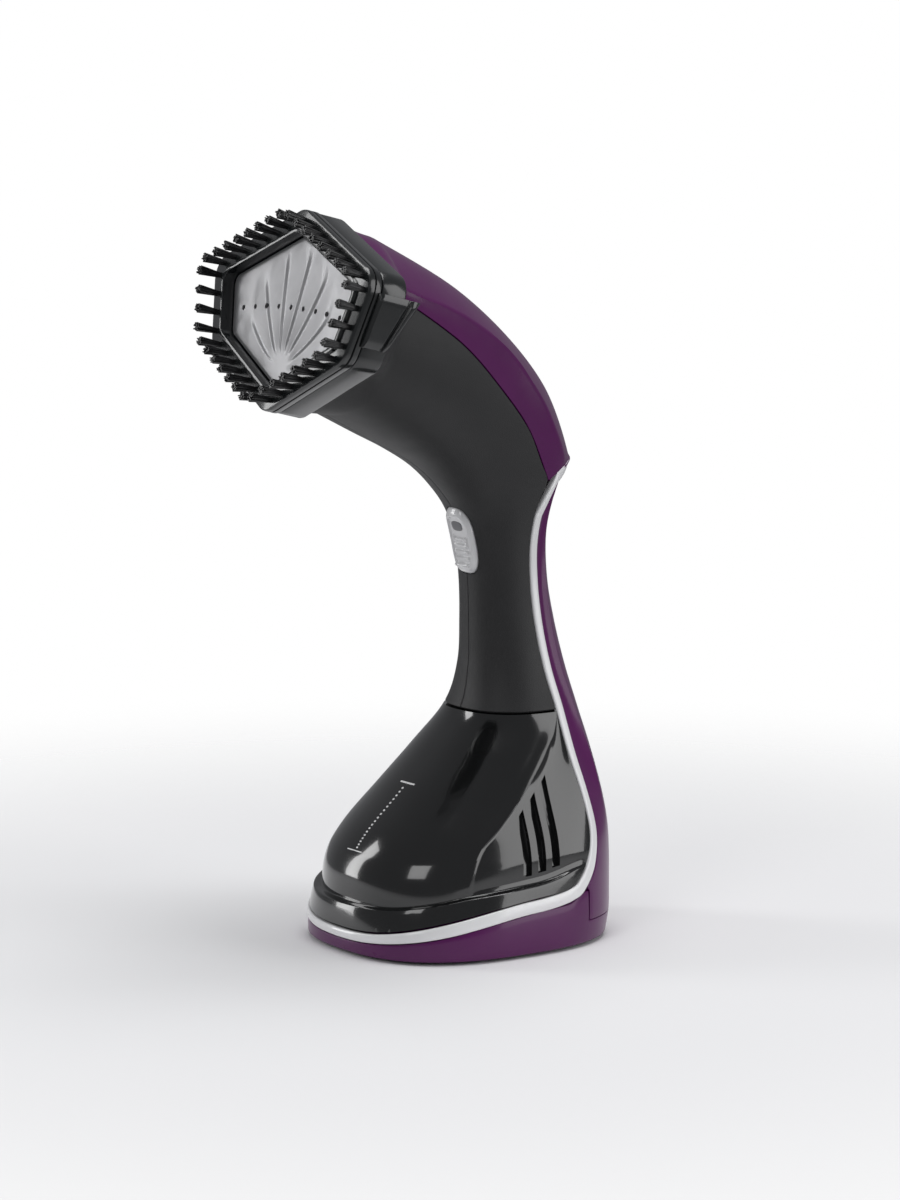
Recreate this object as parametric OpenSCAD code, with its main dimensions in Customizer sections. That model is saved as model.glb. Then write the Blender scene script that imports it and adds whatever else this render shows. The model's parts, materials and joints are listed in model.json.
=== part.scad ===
// Hand-held garment steamer standing on its base.
// +Z is up, the steam head faces -Y, and the mirror plane is x = 0.
// The origin is the centre of the footprint, at the height of the table.

/* [Overall] */
// Length of the base, front to back
base_len = 110; // [96:1:132]
// Width of the base
base_wid = 100; // [90:1:120]
// Height of the joint between the tank and the grip
tank_top = 88; // [84:1:100]
// Length of the grip, from the tank joint to the barrel
grip_len = 50; // [45:1:60]
// How far the grip stands behind the centre of the base
grip_y = 22; // [20:0.5:24]
// Width of the grip at its narrowest
grip_wid = 32.4; // [31:0.2:39]
// Depth of the grip, front to back
grip_dep = 33.8; // [32:0.2:40]

/* [Barrel and head] */
// Rise of the barrel's mouth above the top of the grip
head_rise = 99.5; // [88:0.5:120]
// How far the barrel's mouth stands in front of the base's centre
head_reach = 51; // [44:1:61]
// Upward tilt of the steam head, in degrees
head_tilt = 14; // [10:1:18]
// Width of the barrel at its mouth
mouth_wid = 76; // [72:1:84]
// Height of the barrel at its mouth
mouth_hgt = 68; // [64:1:74]
// Drop of the sole plate's centre below the barrel's axis
plate_drop = 2.2; // [0:0.2:4]
// Half width of the sole plate across its upper shoulders
shoulder_x = 43.6; // [38:0.2:50]
// Half width of the sole plate across its lower corners
cheek_x = 37.6; // [33:0.2:42]
// Height of the shoulders above the plate's centre
shoulder_y = 13; // [9:0.5:16]
// Depth of the lower corners below the plate's centre
cheek_y = 8; // [5:0.5:11]
// Height of the sole plate's top corner above its centre
plate_peak = 31; // [27:0.5:35]
// Depth of the sole plate's bottom corner below its centre
plate_foot = 26.5; // [22:0.5:30]
// Thickness of the sole plate
plate_t = 2; // [1.5:0.1:3]
// Number of steam holes
steam_holes = 9; // [5:2:11]
// Diameter of a steam hole
steam_hole_d = 2.2; // [1.5:0.1:3]
// Spacing of the steam holes
steam_pitch = 8.2; // [7:0.1:8.6]
// Depth of the head collar, between brush frame and barrel
collar_len = 21; // [18:0.5:26]

/* [Brush attachment] */
// Thickness of the brush frame
frame_t = 7; // [6:0.5:9]
// Width of the brush frame around the sole plate
frame_rim = 9; // [8:0.5:11]
// Depth of the sole plate behind the front of the brush frame
plate_recess = 4.5; // [3:0.5:5]
// Number of bristle tufts along each edge, from the top corner round
tufts_upper = 8; // [5:1:9]
// Number of bristle tufts along each short side edge
tufts_side = 4; // [2:1:4]
// Number of bristle tufts along each lower edge
tufts_lower = 7; // [5:1:8]
// Length of a tuft in front of the brush frame
tuft_len = 8.5; // [6:0.5:11]
// Diameter of a tuft at its root
tuft_d = 1.8; // [1.4:0.1:2.2]

/* [Walls and fits] */
// Wall of the outer shells
wall = 2.2; // [1.8:0.1:2.6]
// Wall of the water tank
tank_wall = 2; // [1.6:0.1:2.4]
// Gap between neighbouring shells
seam_gap = 0.25; // [0.2:0.05:0.4]
// Gap between pieces that move apart
free_gap = 0.35; // [0.3:0.05:0.6]
// Radial clearance of a running fit
run_gap = 0.05; // [0.03:0.01:0.08]
// Width of the light trim band
trim_wid = 3.4; // [2.6:0.2:4]
// Thickness of the light trim band
trim_t = 2; // [1.6:0.1:2.4]

/* [Trigger] */
// Width of the trigger
trigger_wid = 17; // [14:0.5:18]
// Height of the trigger
trigger_hgt = 26; // [24:0.5:27]
// How far the trigger stands out of the grip
trigger_proud = 1.9; // [1:0.1:2.5]
// Angle that the trigger turns when it is pressed
trigger_turn = 5; // [3:0.5:6]
// Diameter of the trigger's pivot pin
pin_d = 3; // [2.4:0.1:3.4]

/* [Pump and water path] */
// Width of the pump coil
coil_wid = 26; // [22:1:27]
// Depth of the pump coil, front to back
coil_dep = 20; // [18:1:21]
// Height of the pump coil
coil_hgt = 20; // [17:1:20]
// Diameter of the pump barrel
pump_d = 12; // [10:0.5:13]
// Diameter of the pump piston
piston_d = 6; // [5:0.2:7]
// Outer diameter of the silicone hoses
hose_d = 6; // [5:0.2:7]
// Bore of the silicone hoses
hose_bore = 3; // [2:0.2:4]
// Outer diameter of the tank's outlet spout
spout_d = 8; // [7:0.2:9]
// Bore of the filler opening in the tank
filler_d = 12; // [10:0.5:14]

/* [Heater] */
// Thickness of the heater block
heater_t = 13; // [12:0.5:14]
// Diameter of the tubular heating element
element_d = 6.4; // [6:0.2:7]
// Bend radius of the heating element
element_r = 15; // [14.5:0.5:16]
// Diameter of the steam chamber
chamber_d = 18; // [14:0.5:20]

/* [Base] */
// Height of the rubber feet below the base plate
foot_hgt = 1.2; // [0.8:0.1:2]
// Diameter of a rubber foot
foot_d = 12; // [9:0.5:15]
// Diameter of the land under the middle of the base plate, level with the feet
land_d = 30; // [20:1:40]
// Diameter of the opening in the cord gland
gland_bore = 7; // [6:0.2:8]

/* [Hidden] */
$fn = 48;

purple = [0.29, 0.08, 0.31];
soft_black = [0.16, 0.16, 0.165];
gloss_black = [0.07, 0.075, 0.08];
pale = [0.88, 0.88, 0.88];
steel = [0.72, 0.72, 0.73];
rubber = [0.1, 0.1, 0.1];

grip_top = tank_top + grip_len;
mouth = [0, -head_reach, grip_top + head_rise];
head_turn = 90 - head_tilt;
front_z = collar_len + free_gap + frame_t;

// ---------------------------------------------------------------- shape rules

function unit(v) = v / norm(v);
function mix(a, b, k) = a + (b - a) * k;
function curl(c, n) = sign(c) * pow(abs(c), 2 / n);

// A smooth curve through the values of list v, read at the real position s
function smooth(v, s) =
    let (i = min(max(floor(s), 0), len(v) - 2), f = s - i)
    let (a = v[max(i - 1, 0)], b = v[i], c = v[i + 1], d = v[min(i + 2, len(v) - 1)])
    b + 0.5 * ((c - a) * f + (2 * a - 5 * b + 4 * c - d) * f * f + (3 * b - a - 3 * c + d) * f * f * f);

// Sections of the outer skin, from the footprint up to the barrel's mouth. Each one holds
// its front point (y, z), its back point (y, z), its half width and two roundness exponents.
function foot(z, front, back, wide, nf, nb) =
    [-front * base_len / 2, z * tank_top, back * base_len / 2, z * tank_top, wide * base_wid / 2, nf, nb];
function flare(z, kf, kb, kw) =
    let (low = foot(1, -0.027, 0.922, 0.5, 2.4, 2.4), half = grip_dep / 2)
    [mix(low[0], grip_y - half, kf), mix(tank_top, grip_top, z), mix(low[2], grip_y + half, kb),
        mix(tank_top, grip_top, z), mix(low[4], grip_wid / 2, kw), 2.3, 2.3];
function neck(a, b, deep, turn, wide) =
    let (cy = mix(grip_y, mouth[1], a), cz = mix(grip_top, mouth[2], b))
    let (h = mix(grip_dep, mouth_hgt, deep) / 2, t = head_turn * turn)
    [cy - h * cos(t), cz - h * sin(t), cy + h * cos(t), cz + h * sin(t),
        mix(grip_wid, mouth_wid, wide) / 2, 2.3, 2.3];
sections = [
    foot(0, 1, 1, 1, 2.6, 2.6),
    foot(0.114, 0.996, 1.036, 1, 2.6, 2.6),
    foot(0.227, 0.973, 1.047, 0.98, 2.5, 2.6),
    foot(0.364, 0.918, 1.055, 0.95, 2.3, 2.6),
    foot(0.5, 0.773, 1.049, 0.9, 2.2, 2.6),
    foot(0.659, 0.5, 1.029, 0.78, 2.3, 2.6),
    foot(0.83, 0.209, 0.985, 0.65, 2.4, 2.5),
    foot(1, -0.027, 0.922, 0.5, 2.4, 2.4),
    flare(0.32, 1.07, 0.345, 0.625),
    flare(0.66, 1.15, 0.714, 0.91),
    flare(1, 1, 1, 1),
    neck(0.019, 0.156, 0.04, 0.107, 0.03),
    neck(0.021, 0.296, 0.27, 0.158, 0.1),
    neck(0.033, 0.42, 0.65, 0.197, 0.22),
    neck(0.143, 0.565, 0.835, 0.317, 0.36),
    neck(0.348, 0.711, 0.9, 0.497, 0.54),
    neck(0.636, 0.859, 0.947, 0.738, 0.77),
    neck(1, 1, 1, 1, 1)];
joint_s = 7;
tip_s = 12.85;
mouth_s = len(sections) - 1;

// A point of the skin at section s and angle t from the front, set in by depth
function skin(s, t, depth = 0) =
    let (r = smooth(sections, s), c = [r[0] + r[2], r[1] + r[3]] / 2)
    let (half = [r[0] - r[2], r[1] - r[3]] / 2, d = norm(half), n = cos(t) > 0 ? r[5] : r[6])
    let (q = c + half / d * (d - depth) * curl(cos(t), n))
    [(r[4] - depth) * curl(sin(t), n), q[0], q[1]];
function skin_normal(s, t) =
    let (along = skin(s + 0.05, t) - skin(s - 0.05, t), across = skin(s, t + 1) - skin(s, t - 1))
    unit(cross(across, along));

// Angle of the trim band's centre line at each section, from the footprint to the tip
band_list = [100, 100, 106, 115, 116.5, 111, 103, 98.5, 96.2, 96, 97.5, 101, 110, 140];
function band_deg(s) = smooth(band_list, s);
// Angle between the band's centre line and an edge line that runs beside it
function band_half(s, half) =
    let (t = band_deg(s), p = skin(s, t))
    let (turn = unit(skin(s, t + 1.5) - skin(s, t - 1.5)), rate = norm(skin(s, t + 1.5) - skin(s,
        t - 1.5)) / 3)
    let (run = unit(skin(s + 0.1, band_deg(s + 0.1)) - skin(s - 0.1, band_deg(s - 0.1))), lean = turn * run)
    half / rate / sqrt(max(1 - lean * lean, 0.2));
band_edge = trim_wid / 2 + seam_gap;
// Back edge of the grip shells: along the band, then along the top cover
cover_list = [105, 100.5, 98, 98.5, 102.5, 106];
cover_s = 12.5;
function cover_deg(s) = smooth(cover_list, s - 12);
function grip_edge(s) = s < cover_s
    ? band_deg(s) - band_half(s, band_edge)
    : cover_deg(s);
function rear_edge(s) = band_deg(s) + band_half(s, band_edge);

// Corners of the sole plate, anticlockwise from its top corner
plate = [[0, plate_peak], [-shoulder_x, shoulder_y], [-cheek_x, -cheek_y],
    [0, -plate_foot], [cheek_x, -cheek_y], [shoulder_x, shoulder_y]];
function side_normals(p, i) =
    let (n = len(p), u = unit(p[i] - p[(i + n - 1) % n]), v = unit(p[(i + 1) % n] - p[i]))
    [[u[1], -u[0]], [v[1], -v[0]]];
function corner(p, i, g) = let (m = side_normals(p, i)) p[i] + g * (m[0] + m[1]) / (1 + m[0] * m[1]);
function grown(p, g) = [for (i = [0:len(p) - 1]) corner(p, i, g)];
function turn_between(a, b) = let (d = atan2(b[1], b[0]) - atan2(a[1], a[0])) d - 360 * round(d / 360);
function rounded(p, r, steps = 6) = [for (i = [0:len(p) - 1])
    let (m = side_normals(p, i), c = corner(p, i, -r), a = atan2(m[0][1], m[0][0]),
        d = turn_between(m[0], m[1]))
    for (k = [0:steps]) c + r * [cos(a + d * k / steps), sin(a + d * k / steps)]];
function head_outline(g, r) = rounded(grown(plate, g), r);

// Outline of the base at the table, set in by depth
base_mid = base_len * 0.005;
function base_outline(depth) = [for (t = [0:5:355])
    [(base_wid / 2 - depth) * curl(sin(t), 2.6), base_mid - (base_len / 2 + base_mid - depth)
        * curl(cos(t), 2.6)]];
// Height of the tank's underside, which rises towards the back and levels off at deck_back
deck_back = base_len * 0.2;
deck_front_z = 10.2;
deck_rise = 13;
deck_run = base_len / 2 + deck_back;
function deck_u(y) = min(max((y + base_len / 2) / deck_run, -0.2), 1);
function deck_z(y) = deck_front_z + deck_rise * (2 * deck_u(y) - deck_u(y) * deck_u(y));
function deck_lean(y) = 2 * deck_rise / deck_run * (1 - deck_u(y));
// Side outline (y, z) of the deck curve, shifted down by drop
function deck_curve(drop, back) = [for (k = [-4:20])
    let (y = -base_len / 2 + k / 20 * (back + base_len / 2))
    [y, deck_z(y) - drop]];

// ---------------------------------------------------------------- solid builders

// A closed solid from an outer and an inner grid of points of equal size
module grid_shell(outer, inner) {
    rows = len(outer);
    cols = len(outer[0]);
    count = rows * cols;
    pts = [for (g = [outer, inner]) for (r = g) for (p = r) p];
    function quad(a, b, c, d) = [[a, b, c], [a, c, d]];
    faces = [
        for (i = [0:rows - 2]) for (j = [0:cols - 2]) let (k = i * cols + j)
            each concat(quad(k, k + cols, k + cols + 1, k + 1),
                quad(count + k, count + k + 1, count + k + cols + 1, count + k + cols)),
        for (i = [0:rows - 2]) let (k = i * cols, m = k + cols - 1)
            each concat(quad(k, count + k, count + k + cols, k + cols),
                quad(m, m + cols, count + m + cols, count + m)),
        for (j = [0:cols - 2]) let (k = j, m = (rows - 1) * cols + j)
            each concat(quad(k, k + 1, count + k + 1, count + k),
                quad(m, count + m, count + m + 1, m + 1))];
    polyhedron(pts, faces, convexity = 6);
}

// A closed solid through a list of rings of points, with flat fans at the ends
module loft(rings) {
    n = len(rings[0]);
    last = (len(rings) - 1) * n;
    pts = [for (r = rings) for (p = r) p];
    faces = concat(
        [for (i = [0:len(rings) - 2]) for (j = [0:n - 1]) let (k = i * n, m = (j + 1) % n)
            each [[k + j, k + n + m, k + m], [k + j, k + n + j, k + n + m]]],
        [for (j = [1:n - 2]) [0, j, j + 1]],
        [for (j = [1:n - 2]) [last, last + j + 1, last + j]]);
    polyhedron(pts, faces, convexity = 6);
}

// Rings of a round section of radius r along a path; side is never parallel to it
function path_rings(path, r, side, k) = [for (i = [0:len(path) - 1])
    let (t = unit(path[min(i + 1, len(path) - 1)] - path[max(i - 1, 0)]))
    let (a = unit(side - (side * t) * t), b = cross(t, a))
    [for (j = [0:k - 1]) path[i] + r * (cos(360 * j / k) * a + sin(360 * j / k) * b)]];
function smooth_path(pts, steps) = [for (i = [0:steps]) smooth(pts, i * (len(pts) - 1) / steps)];

// A hose with a bore, along a smooth path
module hose(pts, steps) {
    path = smooth_path(pts, steps);
    inner = path_rings(path, hose_bore / 2 / cos(15), [1, 0, 0], 12);
    outer = path_rings(path, hose_d / 2, [1, 0, 0], 12);
    closed_out = [for (r = outer) concat(r, [r[0]])];
    closed_in = [for (r = inner) concat(r, [r[0]])];
    ring_wall(closed_out, closed_in);
}

// A tube wall from an outer and an inner grid that both close on themselves
module ring_wall(outer, inner) {
    n = len(outer[0]) - 1;
    rows = len(outer);
    count = rows * n;
    last = (rows - 1) * n;
    pts = [for (g = [outer, inner]) for (r = g) for (j = [0:n - 1]) r[j]];
    function quad(a, b, c, d) = [[a, b, c], [a, c, d]];
    faces = [
        for (i = [0:rows - 2]) for (j = [0:n - 1]) let (k = i * n, m = (j + 1) % n)
            each concat(quad(k + j, k + n + j, k + n + m, k + m),
                quad(count + k + j, count + k + m, count + k + n + m, count + k + n + j)),
        for (j = [0:n - 1]) let (m = (j + 1) % n)
            each concat(quad(j, m, count + m, count + j),
                quad(last + j, count + last + j, count + last + m, last + m))];
    polyhedron(pts, faces, convexity = 6);
}

module spring(d, wire, length, turns) {
    steps = turns * 12;
    path = [for (i = [0:steps]) let (a = 360 * turns * i / steps)
        [d / 2 * cos(a), d / 2 * sin(a), wire / 2 + (length - wire) * i / steps]];
    loft(path_rings(path, wire / 2, [0, 0, 1], 6));
}

module tube(d, bore, h) {
    difference() {
        cylinder(d = d, h = h);
        translate([0, 0, -1]) cylinder(d = bore, h = h + 2);
    }
}

module in_head() {
    translate(mouth) rotate([head_turn, 0, 0]) translate([0, -plate_drop, 0]) children();
}
module along_y() {
    rotate([-90, 0, 0]) children();
}
module plate_prism(g, r, z0, z1) {
    translate([0, 0, z0]) linear_extrude(z1 - z0) polygon(head_outline(g, r));
}

// ---------------------------------------------------------------- outer shells

// Half of the grip and barrel, from the front line to the back edge; side is 1 or -1
module grip_half(side) {
    rows = 34;
    cols = 8;
    function patch(depth) = [for (i = [0:rows])
        let (s = mix(joint_s + 0.03, mouth_s, i / rows), reach = grip_edge(s))
        [for (j = [0:cols]) let (p = skin(s, reach * j / cols, depth))
            [side * max(p[0], 0.05), p[1], p[2]]]];
    outer = patch(0);
    inner = patch(wall);
    if (side > 0) grid_shell(outer, inner);
    else grid_shell(inner, outer);
}
// Screw posts inside the shells, each at a section and an angle
post_spots = [[7.5, 72], [9.55, 72], [15.9, 62]];
function post_at(q) = let (p = skin(q[0], q[1])) [p[0] - wall, p[1], p[2]];
post_d = 6.4;
screw_d = 2.6;
// Slot for the trigger in the front of the grip
slot_z0 = grip_top + 1.5;
slot_z1 = slot_z0 + trigger_hgt + 2 * free_gap;
// The trigger's lower edge dips as it swings in, so the slot reaches this much lower
trigger_dip = 0.1 * trigger_turn;
slot_out = 40;
slot_deep = slot_out - grip_dep / 4 + trigger_turn / 5;
module trigger_slot() {
    translate([-trigger_wid / 2 - free_gap, grip_y - slot_out, slot_z0 - trigger_dip])
        cube([trigger_wid + 2 * free_gap, slot_deep, slot_z1 - slot_z0 + trigger_dip]);
}
module posts(side, hole) {
    for (q = post_spots) let (p = post_at(q)) translate([0, p[1], p[2]]) rotate([0, 90 * side, 0])
        difference() {
        translate([0, 0, 0.05]) cylinder(d = post_d, h = p[0] - 0.05);
        translate([0, 0, -1]) cylinder(d = hole, h = p[0] - 1);
    }
}
module left_grip_shell() {
    color(soft_black) difference() {
        union() {
            grip_half(-1);
            posts(-1, screw_d + 0.1);
        }
        trigger_slot();
    }
}
module right_grip_shell() {
    color(soft_black) difference() {
        union() {
            grip_half(1);
            posts(1, screw_d + 0.1);
        }
        trigger_slot();
    }
}

// Cover over the back of the barrel, ending in a point above the trim band
module top_cover() {
    rows = 20;
    cols = 14;
    function patch(depth) = [for (i = [0:rows]) [for (j = [0:cols])
        let (low = cover_s + 0.2 + (tip_s - cover_s - 0.05) * sin(180 * j / cols), s = mix(low, mouth_s,
            i / rows))
        let (edge = cover_deg(s) + 1.2)
        skin(s, mix(edge, 360 - edge, j / cols), depth)]];
    color(purple) grid_shell(patch(0), patch(wall));
}

// Cover down the back of the grip and the pump bay, to the step of the base
rear_step_z = 9.8;
rim_deg = 114.5;
gland_z = 20;
module rear_cover() {
    rows = 34;
    cols = 14;
    low_s = (rear_step_z + seam_gap) / tank_top / 0.114;
    function patch(depth) = [for (i = [0:rows]) [for (j = [0:cols])
        let (high = 12.2 + 0.33 * sin(180 * j / cols), s = mix(low_s, high, i / rows))
        let (edge = 0.8 * depth + max(rear_edge(s), mix(rim_deg, 100, min(max(s - 2.1, 0), 1))))
        skin(s, mix(edge, 360 - edge, j / cols), depth)]];
    color(purple) difference() {
        grid_shell(patch(0), patch(wall));
        translate([0, base_len / 2 - 10, gland_z]) along_y() cylinder(d = gland_bore + 5, h = 25);
    }
}

// Light band: from the tip down both sides of the grip and forward round the tank's foot
// Height of a line on the skin that runs below the tank's underside at a distance from it
foot_gap = free_gap + 0.3;
function under_deck(y, distance) = deck_z(y) - distance * sqrt(1 + deck_lean(y) * deck_lean(y));
// Height of the band's centre line under the tank, at angle t from the front
function foot_z(t) = under_deck(skin(1.4, t)[1], trim_wid / 2 + foot_gap);
foot_turn = 98;
foot_steps = 7;
// Knots [section, angle] of the band's centre line, from the front to the tip
band_knots = concat(
    [for (i = [0:foot_steps]) let (t = foot_turn * i / foot_steps) [section_at(foot_z(t)), t]],
    [[section_at(foot_z(foot_turn)) + 0.1, 103.5], [2.35, 108.5]],
    [for (s = [3:12]) [s, band_deg(s)]], [[12.62, band_deg(12.62)]]);
function band_path(k) = smooth(band_knots, k * (len(band_knots) - 1));
// Section whose front lies at height z, within the foot
function section_at(z) = z < 0.114 * tank_top ? z / tank_top / 0.114 : 1 + (z / tank_top - 0.114) / 0.113;
module trim_band() {
    steps = 54;
    function place(k) = let (p = band_path(k)) skin(p[0], p[1]);
    function ring(k, side) = let (p = band_path(k), c = place(k), n = skin_normal(p[0], p[1]))
        let (run = unit(place(min(k + 0.01, 1)) - place(max(k - 0.01, 0))), b = cross(run, n))
        [for (q = [[1, band_proud], [-1, band_proud], [-1, band_proud - trim_t], [1, band_proud - trim_t]])
            let (v = c + b * q[0] * trim_wid / 2 + n * q[1]) [side * v[0], v[1], v[2]]];
    half = [for (i = [1:steps]) i / steps];
    tip = [skin(tip_s - 0.1, 180), skin(tip_s - 0.1, 180, trim_t)];
    apex = [[0, tip[0][1] + 0.2, tip[0][2] - trim_wid / 2], [0, tip[0][1] + 0.2, tip[0][2] + trim_wid / 2],
        [0, tip[1][1], tip[1][2] + trim_wid / 2], [0, tip[1][1], tip[1][2] - trim_wid / 2]];
    right = [for (k = half) ring(k, 1)];
    left = [for (i = [steps - 1:-1:0]) ring(half[i], -1)];
    front = ring(0.0001, 0);
    color(pale) band_loop(concat([front], right, [apex], left));
}
// A closed ring of four-cornered sections
module band_loop(rings) {
    n = 4;
    rows = len(rings);
    pts = [for (r = rings) for (p = r) p];
    faces = [for (i = [0:rows - 1]) for (j = [0:n - 1])
        let (k = i * n, q = ((i + 1) % rows) * n, m = (j + 1) % n)
        each [[k + j, k + m, q + m], [k + j, q + m, q + j]]];
    polyhedron(pts, faces, convexity = 8);
}

// ---------------------------------------------------------------- base

bay_hw = 17.3;
plate_z0 = foot_hgt;
plate_z1 = foot_hgt + 2;
// Solid between the side profile p (y, z) and the base's outline set in by depth
module base_prism(p, depth) {
    intersection() {
        translate([-base_wid, 0, 0]) rotate([90, 0, 90]) linear_extrude(2 * base_wid) polygon(p);
        translate([0, 0, -1]) linear_extrude(60) polygon(base_outline(depth));
    }
}
far = base_len;
band_proud = 0.3;
riser_in = trim_t + 2 * seam_gap + base_wid / 2 - skin(2.1, 90)[0];
rim_back = base_len * 0.245;
module base_shell() {
    rim = concat([[far, plate_z0], [far, rear_step_z], [rim_back, rear_step_z]],
        [for (k = [20:-1:-4]) let (y = -base_len / 2 + k / 20 * (rim_back + base_len / 2))
            [y, under_deck(y, trim_wid + foot_gap + 2.6 * seam_gap)]],
        [[-far, plate_z0]]);
    deck = concat(deck_curve(free_gap, deck_back), [[deck_back, plate_z0], [-far, plate_z0]]);
    hollow = concat(deck_curve(2 * wall, deck_back - wall),
        [[deck_back - wall, rear_step_z - wall], [far, rear_step_z - wall], [far, plate_z0 - 1], [-far,
            plate_z0 - 1]]);
    color(purple) difference() {
        union() {
            base_prism(rim, 0);
            base_prism(deck, riser_in);
        }
        difference() {
            base_prism(hollow, riser_in + wall);
            for (p = base_post_places) translate([p[0], p[1], 0]) cylinder(d = post_d, h = 40);
        }
        translate([0, 0, plate_z0 - 1]) linear_extrude(3) polygon(base_outline(wall - 0.4));
        translate([-bay_hw, deck_back - 1.2, rear_step_z]) cube([2 * bay_hw, 40, 60]);
        for (p = base_post_places) translate([p[0], p[1], 0]) cylinder(d = screw_d + 0.1,
            h = rear_step_z - 1.5);
    }
}
base_post_places = [for (x = [-1, 1]) for (y = [-0.3, 0.3]) [x * base_wid * 0.3, y * base_len]];
foot_places = [for (x = [-1, 1]) for (y = [-0.29, 0.29]) [x * base_wid * 0.2, y * base_len]];
module base_plate() {
    color(soft_black) difference() {
        union() {
            translate([0, 0, plate_z0]) linear_extrude(plate_z1 - plate_z0 - 0.05)
                polygon(base_outline(wall - 0.3));
            cylinder(d = land_d, h = plate_z0 + 1);
        }
        for (p = foot_places) translate([p[0], p[1], plate_z0 - 1]) cylinder(d = foot_d + 0.1, h = 2);
        for (p = base_post_places) translate([p[0], p[1], plate_z0 - 1]) {
            cylinder(d = screw_d + 0.6, h = 6);
            cylinder(d = 2 * screw_d + 0.5, h = 2);
        }
    }
}
module rubber_feet() {
    color(rubber) for (p = foot_places) translate([p[0], p[1], 0]) cylinder(d = foot_d, h = foot_hgt + 1);
}
module base_screws() {
    color(steel) for (p = base_post_places) translate([p[0], p[1], plate_z0 + 0.05]) {
        cylinder(d = 2 * screw_d, h = 0.9);
        cylinder(d = screw_d, h = rear_step_z - 3.5);
    }
}

// Upright channel that joins the base to the grip and carries the pump
bay_y = deck_back + 0.5;
chassis_z1 = tank_top + 2;
chassis_d = 14;
module chassis() {
    color(soft_black) difference() {
        translate([-bay_hw + 0.8, bay_y, rear_step_z + 0.05])
            cube([2 * bay_hw - 1.6, chassis_d, chassis_z1 - rear_step_z]);
        translate([-bay_hw + 2.6, bay_y + wall, rear_step_z - 1])
            cube([2 * bay_hw - 5.2, chassis_d, chassis_z1 - rear_step_z + 3]);
        translate([0, bay_y - 5, spout_z]) along_y() cylinder(d = spout_d + 2, h = 20);
        translate([0, bay_y - 5, filler_z]) along_y() cylinder(d = filler_d + 5, h = 20);
        for (z = mount_zs) translate([-8, bay_y - 1, z - 1.5]) cube([16, wall + 2, 3]);
    }
}

// ---------------------------------------------------------------- steam head

module head_collar() {
    back = 8;
    function mouth_ring(depth, z) = [for (p = head_outline(5, 5)) let (a = atan2(p[0], p[1] + plate_drop))
        [(mouth_wid / 2 - depth) * curl(sin(a), 2.3), (mouth_hgt / 2 - depth) * curl(cos(a), 2.3)
            + plate_drop, z]];
    function flat_ring(g, z) = [for (p = head_outline(g, 5)) [p[0], p[1], z]];
    function closed(r) = concat(r, [r[0]]);
    lip = collar_len - 3;
    outer = [mouth_ring(-0.4, seam_gap), flat_ring(6, back), flat_ring(6, lip - 0.2), flat_ring(6, lip),
        flat_ring(6, collar_len)];
    inner = [mouth_ring(wall, seam_gap), flat_ring(3.5, back), flat_ring(3.5, lip - 0.2), flat_ring(0.5,
        lip), flat_ring(0.5, collar_len)];
    color(gloss_black) in_head() ring_wall([for (r = outer) closed(r)], [for (r = inner) closed(r)]);
}
sole_z1 = front_z - plate_recess;
sole_z0 = sole_z1 - plate_t;
heater_z0 = sole_z0 - heater_t;
module sole_plate() {
    color(steel) in_head() difference() {
        plate_prism(0, 4, sole_z0, sole_z1);
        for (i = [0:steam_holes - 1]) let (k = i - (steam_holes - 1) / 2)
            translate([k * steam_pitch, 3.8 - 0.12 * k * k, sole_z0 - 1]) cylinder(d = steam_hole_d,
                h = plate_t + 2);
    }
}
heater_screw_places = [[-30, 9], [30, 9], [-25, -7], [25, -7]];
module heater_block() {
    gallery_hw = steam_pitch * (steam_holes - 1) / 2 + 2;
    color("silver") in_head() difference() {
        plate_prism(-2, 3, heater_z0, sole_z0 - 0.05);
        translate([-gallery_hw, 0, sole_z0 - 2]) cube([2 * gallery_hw, 6.5, 3]);
        translate([0, 2, heater_z0 - 1]) cylinder(d = chamber_d, h = 9);
        for (x = [-6, 6]) translate([x, 3, heater_z0]) cylinder(d = 3, h = heater_t);
        translate([0, 2, heater_z0 - 1]) element_groove();
        for (p = heater_screw_places) translate([p[0], p[1], heater_z0 - 1]) cylinder(d = screw_d + 0.2,
            h = 9);
    }
}
element_z = heater_z0 + 4.6;
elbow_r = 4;
module element_groove() {
    groove = element_d + 0.2;
    deep = element_z - heater_z0 + 1 + groove / 2;
    rotate([0, 0, 180]) rotate_extrude(angle = 180) translate([element_r - groove / 2, 0])
        square([groove, deep]);
    for (x = [-element_r, element_r]) {
        translate([x - groove / 2, -0.2, 0]) cube([groove, elbow_r + 0.2, deep]);
        translate([x, elbow_r, 0]) cylinder(d = groove, h = deep);
    }
}
module heating_element() {
    color(steel) in_head() translate([0, 2, element_z]) {
        rotate([0, 0, 180]) rotate_extrude(angle = 180) translate([element_r, 0]) circle(d = element_d);
        for (x = [-element_r, element_r]) translate([x, 0, -elbow_r]) {
            rotate([0, 90, 0]) rotate_extrude(angle = 90) rotate([0, 0, 90]) translate([0, -elbow_r])
                circle(d = element_d);
            translate([0, elbow_r, -8]) cylinder(d = element_d, h = 8);
            translate([0, elbow_r, -14]) cylinder(d = 2.4, h = 7);
        }
    }
}
cover_d = 2 * (element_r - element_d / 2) - 1;
module chamber_gasket() {
    color(rubber) in_head() translate([0, 2, heater_z0 - 1.05]) tube(cover_d, chamber_d, 1);
}
steam_exit_z = heater_z0 - 8;
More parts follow.
